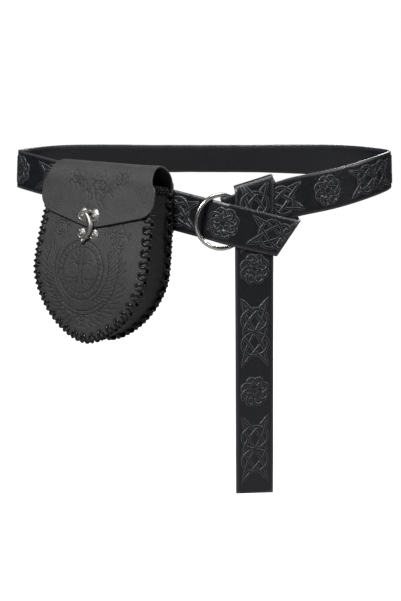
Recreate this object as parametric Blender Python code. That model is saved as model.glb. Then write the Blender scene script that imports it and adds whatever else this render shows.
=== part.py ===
"""Leather belt pouch hanging on a ring belt that is knotted at the front.

Metres, +Z up, the wearer faces -Y. The origin is the middle of the waist opening.
"""
import math

import bmesh
import bpy
from mathutils import Matrix, Vector

# Strap
STRAP_WIDTH = 0.0403
STRAP_THICKNESS = 0.0024
STRAP_CHAMFER = 0.0005
LAYER_GAP = 0.00035
PASSAGE_SPARE = 0.0003
TAIL_LENGTH = 0.3138
TAIL_SLANT = math.radians(-4)
TAIL_DRIFT = 0.003
TAB_THICKNESS = 0.0014
TAB_WIDTH = 0.016
TAB_LENGTH = 0.034

# Waist opening
HALF_WIDTH = 0.2015
BACK_DEPTH = 0.126
FRONT_DEPTH = 0.1275
FRONT_DROP = 0.0436
BACK_RISE = 0.0054
BACK_LEAN = math.radians(36)

# Ring
RING_X = 0.0166
RING_Z = -0.047
RING_RADIUS = 0.0266
WIRE_RADIUS = 0.0021
RING_SIDES = 40
WIRE_SIDES = 12

# Knot
KNOT_YAW = math.radians(17)
LEFT_YAW = math.radians(27)
LEFT_SLOPE = math.tan(math.radians(-10.95))
MAIN_PITCH = math.radians(14.6)
FRONT_PITCH = math.radians(-14)
SIDE_FOLD_ANGLE = math.radians(54)
SIDE_FOLD_OFFSET = 0.0690
SIDE_FOLD_RADIUS = 0.0041
TOP_FOLD_RADIUS = 0.0062
TOP_FOLD_HEIGHT = -0.0122
FOLD_STEPS = 10

# Pouch
POUCH_X = -0.0825
POUCH_PITCH = math.radians(8)
POUCH_ROLL = math.radians(2.5)
POUCH_STRAP_GAP = 0.0012
MOUTH_Z = -0.0140
PANEL_TOP_WIDTH = 0.114
PANEL_WIDTH = 0.126
PANEL_HEIGHT = 0.157
PANEL_ROUND_HEIGHT = 0.071
PANEL_POWER = 1.7
PANEL_THICKNESS = 0.0022
PANEL_CROWN = 0.005
MOUTH_DEPTH = 0.041
BELLY_DEPTH = 0.048
BASE_DEPTH = 0.044
GUSSET_THICKNESS = 0.002
GUSSET_INSET = 0.0026
SEAM_GAP = 0.0004

# Flap
FLAP_TOP_WIDTH = 0.118
FLAP_WIDTH = 0.129
FLAP_RISE = 0.0185
FLAP_CORNER_DROP = 0.0275
FLAP_TIP_DROP = 0.0455
FLAP_CORNER_RADIUS = 0.013
FLAP_GAP = 0.0006

# Belt loops
LOOP_WIDTH = 0.016
LOOP_THICKNESS = 0.002
LOOP_PLACES = {"belt_loop_left": -0.030, "belt_loop_right": 0.0475}
LOOP_SLACK = 0.0016

# Clasp
CLASP_X = -0.004
AXIS_DROP = 0.0305
AXIS_LIFT = 0.0046
BARREL_RADIUS = 0.0019
BARREL_LENGTH = 0.0044
PIN_RADIUS = 0.0008
PIN_CLEARANCE = 0.0003
HOOK_REACH = 0.0285
HOOK_BOW = 0.0062
HOOK_RADIUS = 0.00145
BALL_RADIUS = 0.0021
NIB_LENGTH = 0.0031
PLATE_THICKNESS = 0.0018
UPPER_LOBE_RADIUS = 0.0056
UPPER_LOBE_SPREAD = 0.0056
LOWER_LOBE_RADIUS = 0.0047
LOWER_LOBE_SPREAD = 0.0062
STAPLE_DROP = 0.0525
STAPLE_RADIUS = 0.0011
STAPLE_HALF = 0.0052
MOUNT_GAP = 0.0003

UP = Vector((0, 0, 1))


def clear_scene():
    for obj in list(bpy.data.objects):
        bpy.data.objects.remove(obj, do_unlink=True)


def make_material(name, color, roughness, metallic):
    material = bpy.data.materials.new(name)
    material.use_nodes = True
    shader = material.node_tree.nodes["Principled BSDF"]
    shader.inputs["Base Color"].default_value = (*color, 1)
    shader.inputs["Roughness"].default_value = roughness
    shader.inputs["Metallic"].default_value = metallic
    return material


def add_object(name, mesh, material, sharp_angle=math.radians(35)):
    mesh.materials.append(material)
    mesh.shade_smooth()
    mesh.set_sharp_from_angle(angle=sharp_angle)
    obj = bpy.data.objects.new(name, mesh)
    bpy.context.scene.collection.objects.link(obj)
    return obj


def mesh_from(bm, name):
    bmesh.ops.recalc_face_normals(bm, faces=bm.faces)
    if bm.calc_volume(signed=True) < 0:
        bmesh.ops.reverse_faces(bm, faces=bm.faces)
    mesh = bpy.data.meshes.new(name)
    bm.to_mesh(mesh)
    bm.free()
    return mesh


def loft(name, sections):
    """A closed solid through a list of rings that have the same number of points."""
    bm = bmesh.new()
    rings = [[bm.verts.new(point) for point in section] for section in sections]
    count = len(rings[0])
    for first, second in zip(rings, rings[1:]):
        for i in range(count):
            j = (i + 1) % count
            bm.faces.new((first[i], first[j], second[j], second[i]))
    bm.faces.new(rings[0])
    bm.faces.new(reversed(rings[-1]))
    return mesh_from(bm, name)


def sheet(name, rows):
    """An open surface through rows of points, which a Solidify modifier gives its wall."""
    bm = bmesh.new()
    grid = [[bm.verts.new(point) for point in row] for row in rows]
    for first, second in zip(grid, grid[1:]):
        for i in range(len(first) - 1):
            bm.faces.new((first[i], first[i + 1], second[i + 1], second[i]))
    return mesh_from(bm, name)


def add_wall(obj, thickness):
    wall = obj.modifiers.new("Wall", "SOLIDIFY")
    wall.thickness = thickness
    wall.offset = 0
    return wall


def smooth_share(share):
    share = min(max(share, 0), 1)
    return share * share * (3 - 2 * share)


def smooth_curve(points, steps):
    """A Catmull-Rom curve through rows of numbers, with steps pieces between two rows."""
    ends = [[2 * a - b for a, b in zip(points[0], points[1])]]
    ends += [list(point) for point in points]
    ends.append([2 * a - b for a, b in zip(points[-1], points[-2])])
    curve = []
    for k in range(1, len(ends) - 2):
        for i in range(steps):
            t = i / steps
            row = []
            for a, b, c, d in zip(ends[k - 1], ends[k], ends[k + 1], ends[k + 2]):
                row.append(0.5 * (2 * b + (c - a) * t + (2 * a - 5 * b + 4 * c - d) * t ** 2
                                  + (3 * b - a - 3 * c + d) * t ** 3))
            curve.append(row)
    curve.append(list(points[-1]))
    return curve


class Plane:
    """An upright plane at the knot: along runs right, out points away from the wearer."""

    def __init__(self, origin, yaw):
        self.origin = Vector(origin)
        self.along = Vector((math.cos(yaw), math.sin(yaw), 0))
        self.out = Vector((math.sin(yaw), -math.cos(yaw), 0))

    def point(self, along, height, level):
        place = self.origin + self.along * along + self.out * level
        return Vector((place.x, place.y, height))

    def heading(self, angle):
        return self.along * math.cos(angle) + UP * math.sin(angle)


RING_CENTRE = Vector((RING_X, -FRONT_DEPTH, RING_Z))
KNOT_PLANE = Plane(RING_CENTRE, KNOT_YAW)
LEFT_PLANE = Plane(RING_CENTRE, -LEFT_YAW)

LAYER_PITCH = STRAP_THICKNESS + LAYER_GAP
PLY_LEVEL = WIRE_RADIUS + LAYER_GAP + STRAP_THICKNESS / 2
WIRE_END = RING_RADIUS + WIRE_RADIUS
WRAP_LEVEL = PLY_LEVEL + LAYER_PITCH
FRONT_LEVEL = PLY_LEVEL + 2 * LAYER_PITCH
RING_DROP = -FRONT_DROP
FRONT_HEIGHT = RING_Z - 0.001


def main_height(along):
    return RING_DROP + along * math.tan(MAIN_PITCH)


def front_height(along):
    return FRONT_HEIGHT + along * math.tan(FRONT_PITCH)


class Station:
    """One section of the strap: its centre, half its width as a vector, and its outer side."""

    def __init__(self, centre, across, outward, thickness=STRAP_THICKNESS):
        self.centre = centre
        self.across = across
        self.outward = outward.normalized()
        self.thickness = thickness

    def ring(self):
        half = self.across.length
        side = self.across.normalized()
        out = self.outward * self.thickness / 2
        cut = min(STRAP_CHAMFER, self.thickness / 4)
        flat = side * (half - cut)
        edge = side * half
        low = out * (1 - 2 * cut / self.thickness)
        signs = ((flat, out), (edge, low), (edge, -low), (flat, -out),
                 (-flat, -out), (-edge, -low), (-edge, low), (-flat, out))
        return [self.centre + a + b for a, b in signs]


def fold_line_station(plane, along, height, level, fold_angle, heading, outward=1):
    """A flat section that lies along the slanted line of the next fold."""
    slant = math.sin(abs(heading - fold_angle))
    across = plane.heading(fold_angle) * STRAP_WIDTH / 2 / slant
    return Station(plane.point(along, height, level), across, plane.out * outward)


def half_turn(plane, along, height, level, fold_angle, heading, radius, outward):
    """The strap turns over a slanted line and comes back on the other side."""
    axis = plane.heading(fold_angle)
    ahead = plane.heading(heading)
    cosine = ahead.dot(axis)
    sine = math.sqrt(1 - cosine * cosine)
    side = (ahead - axis * cosine) / sine
    normal = plane.out * outward
    start = plane.point(along, height, level)
    across = axis * STRAP_WIDTH / 2 / sine
    stations = []
    for i in range(FOLD_STEPS + 1):
        turn = math.pi * i / FOLD_STEPS
        travel = radius * turn
        centre = (start + axis * cosine / sine * travel + side * radius * math.sin(turn)
                  - normal * radius * (1 - math.cos(turn)))
        out = normal * math.cos(turn) + side * math.sin(turn)
        stations.append(Station(centre, across, out))
    return stations


def ring_fold_offset():
    """How far right of the ring's centre the strap can fold round its wire."""
    above = main_height(0) - RING_Z
    reach = abs(above) * math.cos(MAIN_PITCH) + STRAP_WIDTH / 2
    inside = RING_RADIUS - WIRE_RADIUS
    chord = math.sqrt(max(inside ** 2 - reach ** 2, 0)) + WIRE_RADIUS
    return (chord - above * math.sin(MAIN_PITCH)) * math.cos(MAIN_PITCH)


def ring_tab():
    """The turned end behind the ring, pared thin and narrow, and the fold round the wire."""
    fold = ring_fold_offset()
    ahead = KNOT_PLANE.heading(MAIN_PITCH)
    upward = KNOT_PLANE.heading(MAIN_PITCH + math.pi / 2)
    centre = KNOT_PLANE.point(fold, main_height(fold), 0)
    tab_level = WIRE_RADIUS + LAYER_GAP + TAB_THICKNESS / 2
    stations = []
    # columns: share of the tab from its end to the fold, share that is closed against the strap
    for share, closed in ((0, 1), (0.12, 1), (0.24, 0.85), (0.36, 0.3), (0.46, 0), (0.66, 0), (0.85, 0)):
        along = TAB_LENGTH * (1 - share)
        narrow = smooth_share((1 - share) * 2.2)
        half = STRAP_WIDTH / 2 * (1 - narrow) + TAB_WIDTH / 2 * narrow
        lower = -(STRAP_WIDTH / 2 - half) * 0.9
        shut_level = PLY_LEVEL - (STRAP_THICKNESS + TAB_THICKNESS) / 2 - LAYER_GAP
        level = -tab_level * (1 - closed) + shut_level * closed
        place = centre + ahead * along + KNOT_PLANE.out * level + upward * lower
        stations.append(Station(place, upward * half, -KNOT_PLANE.out, TAB_THICKNESS))
    for i in range(FOLD_STEPS + 1):
        turn = math.pi * i / FOLD_STEPS
        thickness = TAB_THICKNESS + (STRAP_THICKNESS - TAB_THICKNESS) * smooth_share(i / 4)
        radius = WIRE_RADIUS + LAYER_GAP + thickness / 2
        out = -KNOT_PLANE.out * math.cos(turn) - ahead * math.sin(turn)
        stations.append(Station(centre + out * radius, upward * STRAP_WIDTH / 2, out, thickness))
    return stations


def ring_passage():
    """How the strap goes through the ring, as rows of distance along and level.

    It passes behind the ring's left side, and then in front of the fold that holds the
    ring's right side and of the wrap beside it.
    """
    reach = STRAP_WIDTH / 2 + abs(FRONT_HEIGHT - RING_Z)
    inside = RING_RADIUS - WIRE_RADIUS * 0.8
    wire = -math.sqrt(max(inside ** 2 - reach ** 2, 0))
    clear = PLY_LEVEL + PASSAGE_SPARE
    fold = ring_fold_offset()
    above = FRONT_HEIGHT + STRAP_WIDTH / 2 - main_height(fold)
    nose = fold - above * math.tan(MAIN_PITCH)
    over = PLY_LEVEL + LAYER_PITCH + PASSAGE_SPARE
    sine = min((clear + over) / (nose - wire), 0.95)
    cosine = math.sqrt(1 - sine * sine)
    return [(wire + clear * sine, -clear * cosine), (nose - over * sine, over * cosine),
            (nose, (over + FRONT_LEVEL) / 2), (nose + STRAP_WIDTH / 10, FRONT_LEVEL)]


def left_line_start():
    """Where the left strap's straight run ends, just behind the ring's left side."""
    along, level = ring_passage()[0]
    return KNOT_PLANE.point(along, 0, level)


def left_line_point(distance):
    """A point of the left strap's middle line, at a level distance back from the ring."""
    start = left_line_start()
    height = RING_DROP - 0.0012 - distance * LEFT_SLOPE
    back = LEFT_PLANE.along * -distance
    return Vector((start.x + back.x, start.y + back.y, height))


def waist_rows():
    """Middle line of the strap from the ring, round the waist and back through the ring.

    A row holds x, y, z, the lean of the strap's top towards the wearer, and the share by
    which its sections stand upright instead of square to its edges.
    """
    fold = ring_fold_offset()
    rows = []
    for share in (0, 0.3, 0.65, 1):
        along = fold + (WIRE_END - fold) * share
        rows.append((*KNOT_PLANE.point(along, main_height(along), PLY_LEVEL), 0, 0))
    for share in (0.25, 0.5, 0.75, 1):
        along = WIRE_END + (0.078 - WIRE_END) * share
        rows.append((*KNOT_PLANE.point(along, main_height(along), PLY_LEVEL), 0, 0))
    # columns: share of half width, share of depth, share of front drop, share of back lean
    for x, y, drop, lean in (
            (0.62, -0.755, 0.405, 0), (0.755, -0.64, 0.27, 0), (0.885, -0.47, 0.12, 0.03),
            (0.97, -0.25, 0.03, 0.06), (1, 0, 0, 0.10), (0.965, 0.28, 0, 0.22),
            (0.86, 0.57, 0, 0.45), (0.68, 0.79, 0, 0.72), (0.45, 0.93, 0, 0.92),
            (0.22, 0.985, 0, 1), (0, 1, 0, 1), (-0.22, 0.985, 0, 1), (-0.45, 0.93, 0, 0.92),
            (-0.68, 0.79, 0, 0.72), (-0.86, 0.57, 0, 0.45), (-0.965, 0.28, 0, 0.22),
            (-1, 0.02, 0, 0.10), (-0.98, -0.13, 0.02, 0.06)):
        depth = BACK_DEPTH if y > 0 else FRONT_DEPTH
        height = BACK_RISE * smooth_share(y) - drop * FRONT_DROP
        rows.append((x * HALF_WIDTH, y * depth, height, lean * BACK_LEAN, 0))
    for distance in (0.192, 0.160, 0.128, 0.096, 0.064, 0.032, 0.012, 0):
        rows.append((*left_line_point(distance), 0, 0))
    passage = ring_passage()
    for along, level in passage[1:]:
        rows.append((*KNOT_PLANE.point(along, front_height(along), level), 0, 1))
    for upright in (1, 0.5, 0):
        along = passage[-1][0] + STRAP_WIDTH * 0.62 * (1 - upright * 0.8)
        rows.append((*KNOT_PLANE.point(along, front_height(along), FRONT_LEVEL), 0, upright))
    return rows


def waist_stations():
    curve = smooth_curve(waist_rows(), 4)
    places = [Vector(row[:3]) for row in curve]
    stations = []
    for i in range(1, len(places) - 1):
        ahead = (places[i + 1] - places[i - 1]).normalized()
        outward = ahead.cross(UP).normalized()
        lean = curve[i][3]
        leaned = UP * math.cos(lean) - outward * math.sin(lean)
        across = (leaned - ahead * leaned.dot(ahead)).normalized()
        across = across.lerp(UP, curve[i][4])
        across = across / ahead.cross(across).length
        stations.append(Station(places[i], across * STRAP_WIDTH / 2, ahead.cross(across)))
    return stations


def knot_stations():
    """The strap turns back round itself, goes up behind, over the top and hangs down."""
    stations = []
    extreme = SIDE_FOLD_OFFSET
    height = front_height(extreme)
    inset = SIDE_FOLD_RADIUS + STRAP_THICKNESS / 2
    step = inset / math.sin(SIDE_FOLD_ANGLE - FRONT_PITCH)
    along = extreme - step * math.cos(FRONT_PITCH)
    height = height - step * math.sin(FRONT_PITCH)
    side = half_turn(KNOT_PLANE, along, height, FRONT_LEVEL,
                     SIDE_FOLD_ANGLE, FRONT_PITCH, SIDE_FOLD_RADIUS, 1)
    stations += side
    back_heading = 2 * SIDE_FOLD_ANGLE - FRONT_PITCH
    top_angle = (back_heading + 1.5 * math.pi) / 2 - math.pi
    start = side[-1].centre
    rise = TOP_FOLD_HEIGHT - start.z
    run = rise / math.tan(back_heading)
    from_ring = start - RING_CENTRE
    begin = from_ring.dot(KNOT_PLANE.along)
    low_level = FRONT_LEVEL - 2 * SIDE_FOLD_RADIUS
    top_level = WRAP_LEVEL - 2 * TOP_FOLD_RADIUS
    steps = 6
    first = fold_line_station(KNOT_PLANE, 0, 0, 0, SIDE_FOLD_ANGLE, back_heading).across
    last = fold_line_station(KNOT_PLANE, 0, 0, 0, top_angle, back_heading).across
    for i in range(1, steps):
        share = i / steps
        level = low_level + (top_level - low_level) * smooth_share(share)
        place = KNOT_PLANE.point(begin + run * share, start.z + rise * share, level)
        turn = first.lerp(last, share)
        stations.append(Station(place, turn, -KNOT_PLANE.out))
    top = half_turn(KNOT_PLANE, begin + run, TOP_FOLD_HEIGHT, top_level,
                    top_angle, back_heading, TOP_FOLD_RADIUS, -1)
    stations += top
    end = top[-1].centre
    centre_along = (end - RING_CENTRE).dot(KNOT_PLANE.along)
    square = KNOT_PLANE.along * STRAP_WIDTH / 2
    for share in (0.04, 0.08, 0.3, 0.65, 0.95):
        along = centre_along + TAIL_DRIFT * share
        place = KNOT_PLANE.point(along, end.z - TAIL_LENGTH * share, WRAP_LEVEL)
        turn = top[-1].across.lerp(square, smooth_share(share / 0.08))
        turn = turn * (STRAP_WIDTH / 2 / abs(turn.normalized().dot(KNOT_PLANE.along)) / turn.length)
        stations.append(Station(place, turn, KNOT_PLANE.out))
    place = KNOT_PLANE.point(centre_along + TAIL_DRIFT, end.z - TAIL_LENGTH, WRAP_LEVEL)
    turn = KNOT_PLANE.heading(TAIL_SLANT) * STRAP_WIDTH / 2 / math.cos(TAIL_SLANT)
    stations.append(Station(place, turn, KNOT_PLANE.out))
    return stations


def strap_stations():
    tab = ring_tab()
    waist = waist_stations()
    last = waist[-1].centre
    knot = knot_stations()
    begin = (last - RING_CENTRE).dot(KNOT_PLANE.along)
    finish = (knot[0].centre - RING_CENTRE).dot(KNOT_PLANE.along)
    along = (begin + finish) / 2
    place = KNOT_PLANE.point(along, front_height(along), FRONT_LEVEL)
    link = Station(place, (waist[-1].across + knot[0].across) / 2, KNOT_PLANE.out)
    return tab + waist + [link] + knot


def make_strap(material):
    sections = [station.ring() for station in strap_stations()]
    return add_object("belt_strap", loft("belt_strap", sections), material)


def make_ring(material):
    bm = bmesh.new()
    turn = Matrix.Rotation(KNOT_YAW, 4, "Z") @ Matrix.Rotation(math.pi / 2, 4, "X")
    bmesh.ops.create_circle(bm, segments=WIRE_SIDES, radius=WIRE_RADIUS,
                            matrix=Matrix.Translation((RING_RADIUS, 0, 0))
                            @ Matrix.Rotation(math.pi / 2, 4, "X"))
    bmesh.ops.spin(bm, geom=bm.edges[:], cent=(0, 0, 0), axis=(0, 0, 1),
                   angle=2 * math.pi, steps=RING_SIDES, use_merge=True)
    bmesh.ops.transform(bm, verts=bm.verts, matrix=Matrix.Translation(RING_CENTRE) @ turn)
    return add_object("belt_ring", mesh_from(bm, "belt_ring"), material)


def pouch_frame():
    """Matrix of the pouch: x runs right, y up, z out of the front panel. The origin is the
    middle of the back panel's top edge, at the pouch's mouth."""
    line = left_line_start()
    distance = (line.x - POUCH_X) / math.cos(LEFT_YAW)
    on_strap = left_line_point(distance)
    out = LEFT_PLANE.out
    away = STRAP_THICKNESS / 2 + POUCH_STRAP_GAP + PANEL_THICKNESS / 2
    origin = on_strap + out * away
    origin.z = MOUTH_Z
    axes = Matrix((LEFT_PLANE.along, UP, out)).transposed().to_4x4()
    turned = (Matrix.Translation(origin) @ axes @ Matrix.Rotation(-POUCH_ROLL, 4, "Z")
              @ Matrix.Rotation(-POUCH_PITCH, 4, "X"))
    return turned


POUCH = pouch_frame()


def half_width(drop):
    """Half the panels' width at a distance below the mouth."""
    straight = PANEL_HEIGHT - PANEL_ROUND_HEIGHT
    if drop <= straight:
        flare = math.sin(drop / straight * math.pi / 2)
        return (PANEL_TOP_WIDTH + (PANEL_WIDTH - PANEL_TOP_WIDTH) * flare) / 2
    share = min((drop - straight) / PANEL_ROUND_HEIGHT, 1)
    return PANEL_WIDTH / 2 * (1 - share ** PANEL_POWER) ** (1 / PANEL_POWER)


def pouch_depth(drop):
    """Distance from the back panel's middle surface to the front panel's, at the seam."""
    share = min(max(drop / PANEL_HEIGHT, 0), 1)
    if share < 0.6:
        return MOUTH_DEPTH + (BELLY_DEPTH - MOUTH_DEPTH) * smooth_share(share / 0.6)
    return BELLY_DEPTH + (BASE_DEPTH - BELLY_DEPTH) * smooth_share((share - 0.6) / 0.4)


def front_depth(across, drop):
    """The front panel's middle surface, which is crowned between its seams."""
    share = min(max(drop / PANEL_HEIGHT, 0), 1)
    width = max(half_width(min(max(drop, 0), PANEL_HEIGHT * 0.99)), PANEL_WIDTH * 0.1)
    side = min(abs(across) / width, 1)
    crown = PANEL_CROWN * math.sin(share * math.pi) * (1 - side ** 2)
    return pouch_depth(drop) + crown


def panel_drops():
    """Rows of a panel, closer together round its bottom."""
    straight = PANEL_HEIGHT - PANEL_ROUND_HEIGHT
    drops = [straight * i / 7 for i in range(7)]
    last = 0.985
    for i in range(13):
        turn = i / 12 * math.asin(last)
        drops.append(straight + PANEL_ROUND_HEIGHT * math.sin(turn) ** 1.1)
    return drops


PANEL_SHARES = [math.sin(i / 8 * math.pi / 2) * 0.35 + i / 8 * 0.65 for i in range(9)]
PANEL_SHARES = [-share for share in reversed(PANEL_SHARES[1:])] + PANEL_SHARES


def make_front(material):
    rows = []
    for drop in panel_drops():
        width = half_width(drop)
        rows.append([POUCH @ Vector((share * width, -drop, front_depth(share * width, drop)))
                     for share in PANEL_SHARES])
    obj = add_object("pouch_front", sheet("pouch_front", rows), material)
    add_wall(obj, PANEL_THICKNESS)
    return obj


def seam_outline(inset):
    """Points round the sides and bottom, from the left of the mouth to its right."""
    drops = panel_drops()
    side = []
    for drop in drops:
        side.append(Vector((half_width(drop), drop)))
    loop = [Vector((-point.x, point.y)) for point in side] + list(reversed(side))
    moved = []
    for i, point in enumerate(loop):
        before = loop[max(i - 1, 0)]
        after = loop[min(i + 1, len(loop) - 1)]
        ahead = (after - before).normalized()
        inward = Vector((ahead.y, -ahead.x))
        if inward.dot(Vector((0, PANEL_HEIGHT / 2)) - point) < 0:
            inward = -inward
        moved.append((point + inward * inset, inward))
    return moved


def make_gusset(material):
    """The strip between the panels, open at the mouth."""
    sections = []
    for place, inward in seam_outline(GUSSET_INSET):
        wall = inward * GUSSET_THICKNESS
        back = PANEL_THICKNESS / 2 + SEAM_GAP
        outer = front_depth(place.x, place.y) - PANEL_THICKNESS / 2 - SEAM_GAP * 2
        inner_place = place + wall
        ring = [POUCH @ Vector((place.x, -place.y, back)),
                POUCH @ Vector((place.x, -place.y, outer)),
                POUCH @ Vector((inner_place.x, -inner_place.y, outer)),
                POUCH @ Vector((inner_place.x, -inner_place.y, back))]
        sections.append(ring)
    return add_object("pouch_gusset", loft("pouch_gusset", sections), material)


def flap_surface(across, travel):
    """The flap past the mouth: over in an arch, then down over the front panel.

    Travel is 0 at the mouth's back edge, 1 at its front edge, and after that 1 plus the
    distance below the mouth over the flap's length.
    """
    front = front_depth(across, 0) + PANEL_THICKNESS + FLAP_GAP
    if travel < 1:
        turn = math.pi * travel
        out = front / 2 * (1 - math.cos(turn))
        return Vector((across, FLAP_RISE * math.sin(turn), out))
    drop = (travel - 1) * FLAP_TIP_DROP
    out = front_depth(across, drop) + PANEL_THICKNESS + FLAP_GAP
    return Vector((across, -drop, out))


def flap_half(travel):
    """Half the back panel's width, then the flap's, as it widens towards its corners."""
    if travel < 0.5:
        share = smooth_share(travel * 2)
        return (PANEL_TOP_WIDTH + (FLAP_TOP_WIDTH - PANEL_TOP_WIDTH) * share) / 2
    share = smooth_share((travel - 0.5) / 0.9)
    return (FLAP_TOP_WIDTH + (FLAP_WIDTH - FLAP_TOP_WIDTH) * share) / 2


def flap_edge_drop(across):
    """How far the flap's free edge lies below the mouth: a shallow V with round corners."""
    straight = FLAP_WIDTH / 2 - FLAP_CORNER_RADIUS
    side = min(abs(across), FLAP_WIDTH / 2)
    slope = (FLAP_TIP_DROP - FLAP_CORNER_DROP) / (FLAP_WIDTH / 2)
    tip_round = 0.006
    eased = math.sqrt(side ** 2 + tip_round ** 2) - tip_round
    drop = FLAP_TIP_DROP - slope * eased
    if side > straight:
        past = (side - straight) / FLAP_CORNER_RADIUS
        drop -= FLAP_CORNER_RADIUS * (1 - math.sqrt(max(1 - past ** 2, 0)))
    return drop


def make_back_flap(material):
    rows = []
    for drop in reversed(panel_drops()[1:]):
        width = half_width(drop)
        rows.append([POUCH @ Vector((share * width, -drop, 0)) for share in PANEL_SHARES])
    arch_steps = 14
    for i in range(arch_steps + 1):
        travel = i / arch_steps
        width = flap_half(travel)
        rows.append([POUCH @ flap_surface(share * width, min(travel, 0.9999))
                     for share in PANEL_SHARES])
    front_steps = 9
    for i in range(1, front_steps + 1):
        row = []
        for share in PANEL_SHARES:
            width = flap_half(1 + i / front_steps)
            across = share * width
            down = flap_edge_drop(share * FLAP_WIDTH / 2) * i / front_steps
            row.append(POUCH @ flap_surface(across, 1 + down / FLAP_TIP_DROP))
        rows.append(row)
    obj = add_object("pouch_back_flap", sheet("pouch_back_flap", rows), material)
    add_wall(obj, PANEL_THICKNESS)
    return obj


def back_surface_level(place, out):
    """How far along out from place the rear face of the back panel or the arch lies."""
    inverse = POUCH.inverted()
    low, high = 0, 0.06
    for _ in range(30):
        middle = (low + high) / 2
        local = inverse @ (place + out * middle)
        if local.y <= 0:
            wall = 0
        else:
            rise = min(local.y / FLAP_RISE, 1)
            arch = (front_depth(0, 0) + PANEL_THICKNESS + FLAP_GAP) / 2
            wall = arch * (1 - math.sqrt(1 - rise * rise))
        if local.z < wall - PANEL_THICKNESS * 0.62:
            low = middle
        else:
            high = middle
    return low


def make_belt_loop(name, across, material):
    """A band behind the strap whose two ends reach the back panel."""
    line = left_line_start()
    centre_distance = (line.x - POUCH_X) / math.cos(LEFT_YAW)
    middle = left_line_point(centre_distance - across)
    out = LEFT_PLANE.out
    side = LEFT_PLANE.along * LOOP_WIDTH / 2
    slope = abs(LEFT_SLOPE) * LOOP_WIDTH / 2
    half_strap = STRAP_WIDTH / 2 * math.sqrt(1 + LEFT_SLOPE ** 2)
    reach = half_strap + slope + LOOP_SLACK + LOOP_THICKNESS / 2
    rear = -(STRAP_THICKNESS / 2 + LAYER_GAP * 2 + LOOP_THICKNESS / 2)
    corner = LOOP_THICKNESS * 1.1
    path = []
    ends = []
    for sign in (1, -1):
        levels = []
        for end_side in (-1, 0, 1):
            for end_height in (-0.5, 0.5):
                place = middle + side * end_side
                place = place + UP * (sign * reach + end_height * LOOP_THICKNESS)
                levels.append(back_surface_level(place, out))
        ends.append(min(levels) - SEAM_GAP * 2)
    path.append((reach, ends[0], 1, 0))
    path.append((reach, rear + corner, 1, 0))
    for turn in (30, 60):
        angle = math.radians(turn)
        path.append((reach - corner + corner * math.cos(angle), rear + corner
                     - corner * math.sin(angle), math.cos(angle), math.sin(angle)))
    path.append((reach - corner, rear, 0, 1))
    path.append((-(reach - corner), rear, 0, 1))
    for turn in (60, 30):
        angle = math.radians(turn)
        path.append((-(reach - corner + corner * math.cos(angle)), rear + corner
                     - corner * math.sin(angle), -math.cos(angle), math.sin(angle)))
    path.append((-reach, rear + corner, -1, 0))
    path.append((-reach, ends[1], -1, 0))
    sections = []
    for height, level, up_share, back_share in path:
        normal = UP * up_share - out * back_share
        wall = normal * LOOP_THICKNESS / 2
        centre = middle + UP * height + out * level
        sections.append([centre + side + wall, centre + side - wall,
                         centre - side - wall, centre - side + wall])
    return add_object(name, loft(name, sections), material)


def cylinder(name, radius, length, centre, sides=16):
    """A round bar along the pouch's x."""
    bm = bmesh.new()
    bmesh.ops.create_cone(bm, cap_ends=True, segments=sides, radius1=radius, radius2=radius,
                          depth=length, matrix=Matrix.Rotation(math.pi / 2, 4, "Y"))
    bmesh.ops.translate(bm, verts=bm.verts, vec=centre)
    return mesh_from(bm, name)


def bent_bar(name, points, radius, square, sides=10):
    """A round bar through points that lie in a plane square to the given direction."""
    sections = []
    for i, point in enumerate(points):
        before = points[max(i - 1, 0)]
        after = points[min(i + 1, len(points) - 1)]
        ahead = (after - before).normalized()
        side = square
        third = ahead.cross(side).normalized()
        ring = []
        for k in range(sides):
            turn = 2 * math.pi * k / sides
            ring.append(point + (side * math.cos(turn) + third * math.sin(turn)) * radius)
        sections.append(ring)
    return loft(name, sections)


def lobed_plate(name, lobe_radius, spread, height_scale, back, thickness, centre_drop):
    """A flat plate whose outline is two round lobes joined by a waist."""
    outline = []
    steps = 10
    for sign in (1, -1):
        for i in range(steps + 1):
            turn = math.radians(-105 + 210 * i / steps)
            x = CLASP_X + sign * (spread + lobe_radius * math.cos(turn))
            y = lobe_radius * math.sin(turn) * height_scale
            outline.append((x, y * sign))
    bottom = [Vector((x, y - centre_drop, back)) for x, y in outline]
    top = [Vector((CLASP_X + (x - CLASP_X) * 0.94, y * 0.94 - centre_drop, back + thickness))
           for x, y in outline]
    return loft(name, [bottom, top])


def join_shapes(name, meshes, cut_meshes, material, origin=Vector()):
    """Fuses the meshes into one body and cuts the others out of it.

    The body's own origin lies at the given place of the pouch.
    """
    base = add_object(name, meshes[0], material)
    base.matrix_world = POUCH @ Matrix.Translation(origin)
    for operation, group in (("UNION", meshes[1:]), ("DIFFERENCE", cut_meshes)):
        for mesh in group:
            tool = bpy.data.objects.new(mesh.name, mesh)
            bpy.context.scene.collection.objects.link(tool)
            tool.matrix_world = base.matrix_world
            tool.hide_render = True
            tool.display_type = "WIRE"
            change = base.modifiers.new(mesh.name, "BOOLEAN")
            change.operation = operation
            change.object = tool
            change.solver = "EXACT"
    return base


def flap_face(across, drop):
    """The outer face of the flap."""
    return front_depth(across, drop) + PANEL_THICKNESS * 1.5 + FLAP_GAP


def plate_back(face, lobe, spread, drop, height_scale):
    """The lowest level at which a flat plate clears the crowned leather under it."""
    highest = 0
    for x in (0, spread, spread + lobe):
        for y in (-lobe * height_scale, 0, lobe * height_scale):
            highest = max(highest, face(x, drop + y))
    return highest + MOUNT_GAP


def hook_bow(share):
    """How far the hook's arm bends to the right at a share of its length."""
    return HOOK_BOW * math.sin(math.pi * share) ** 2


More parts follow.
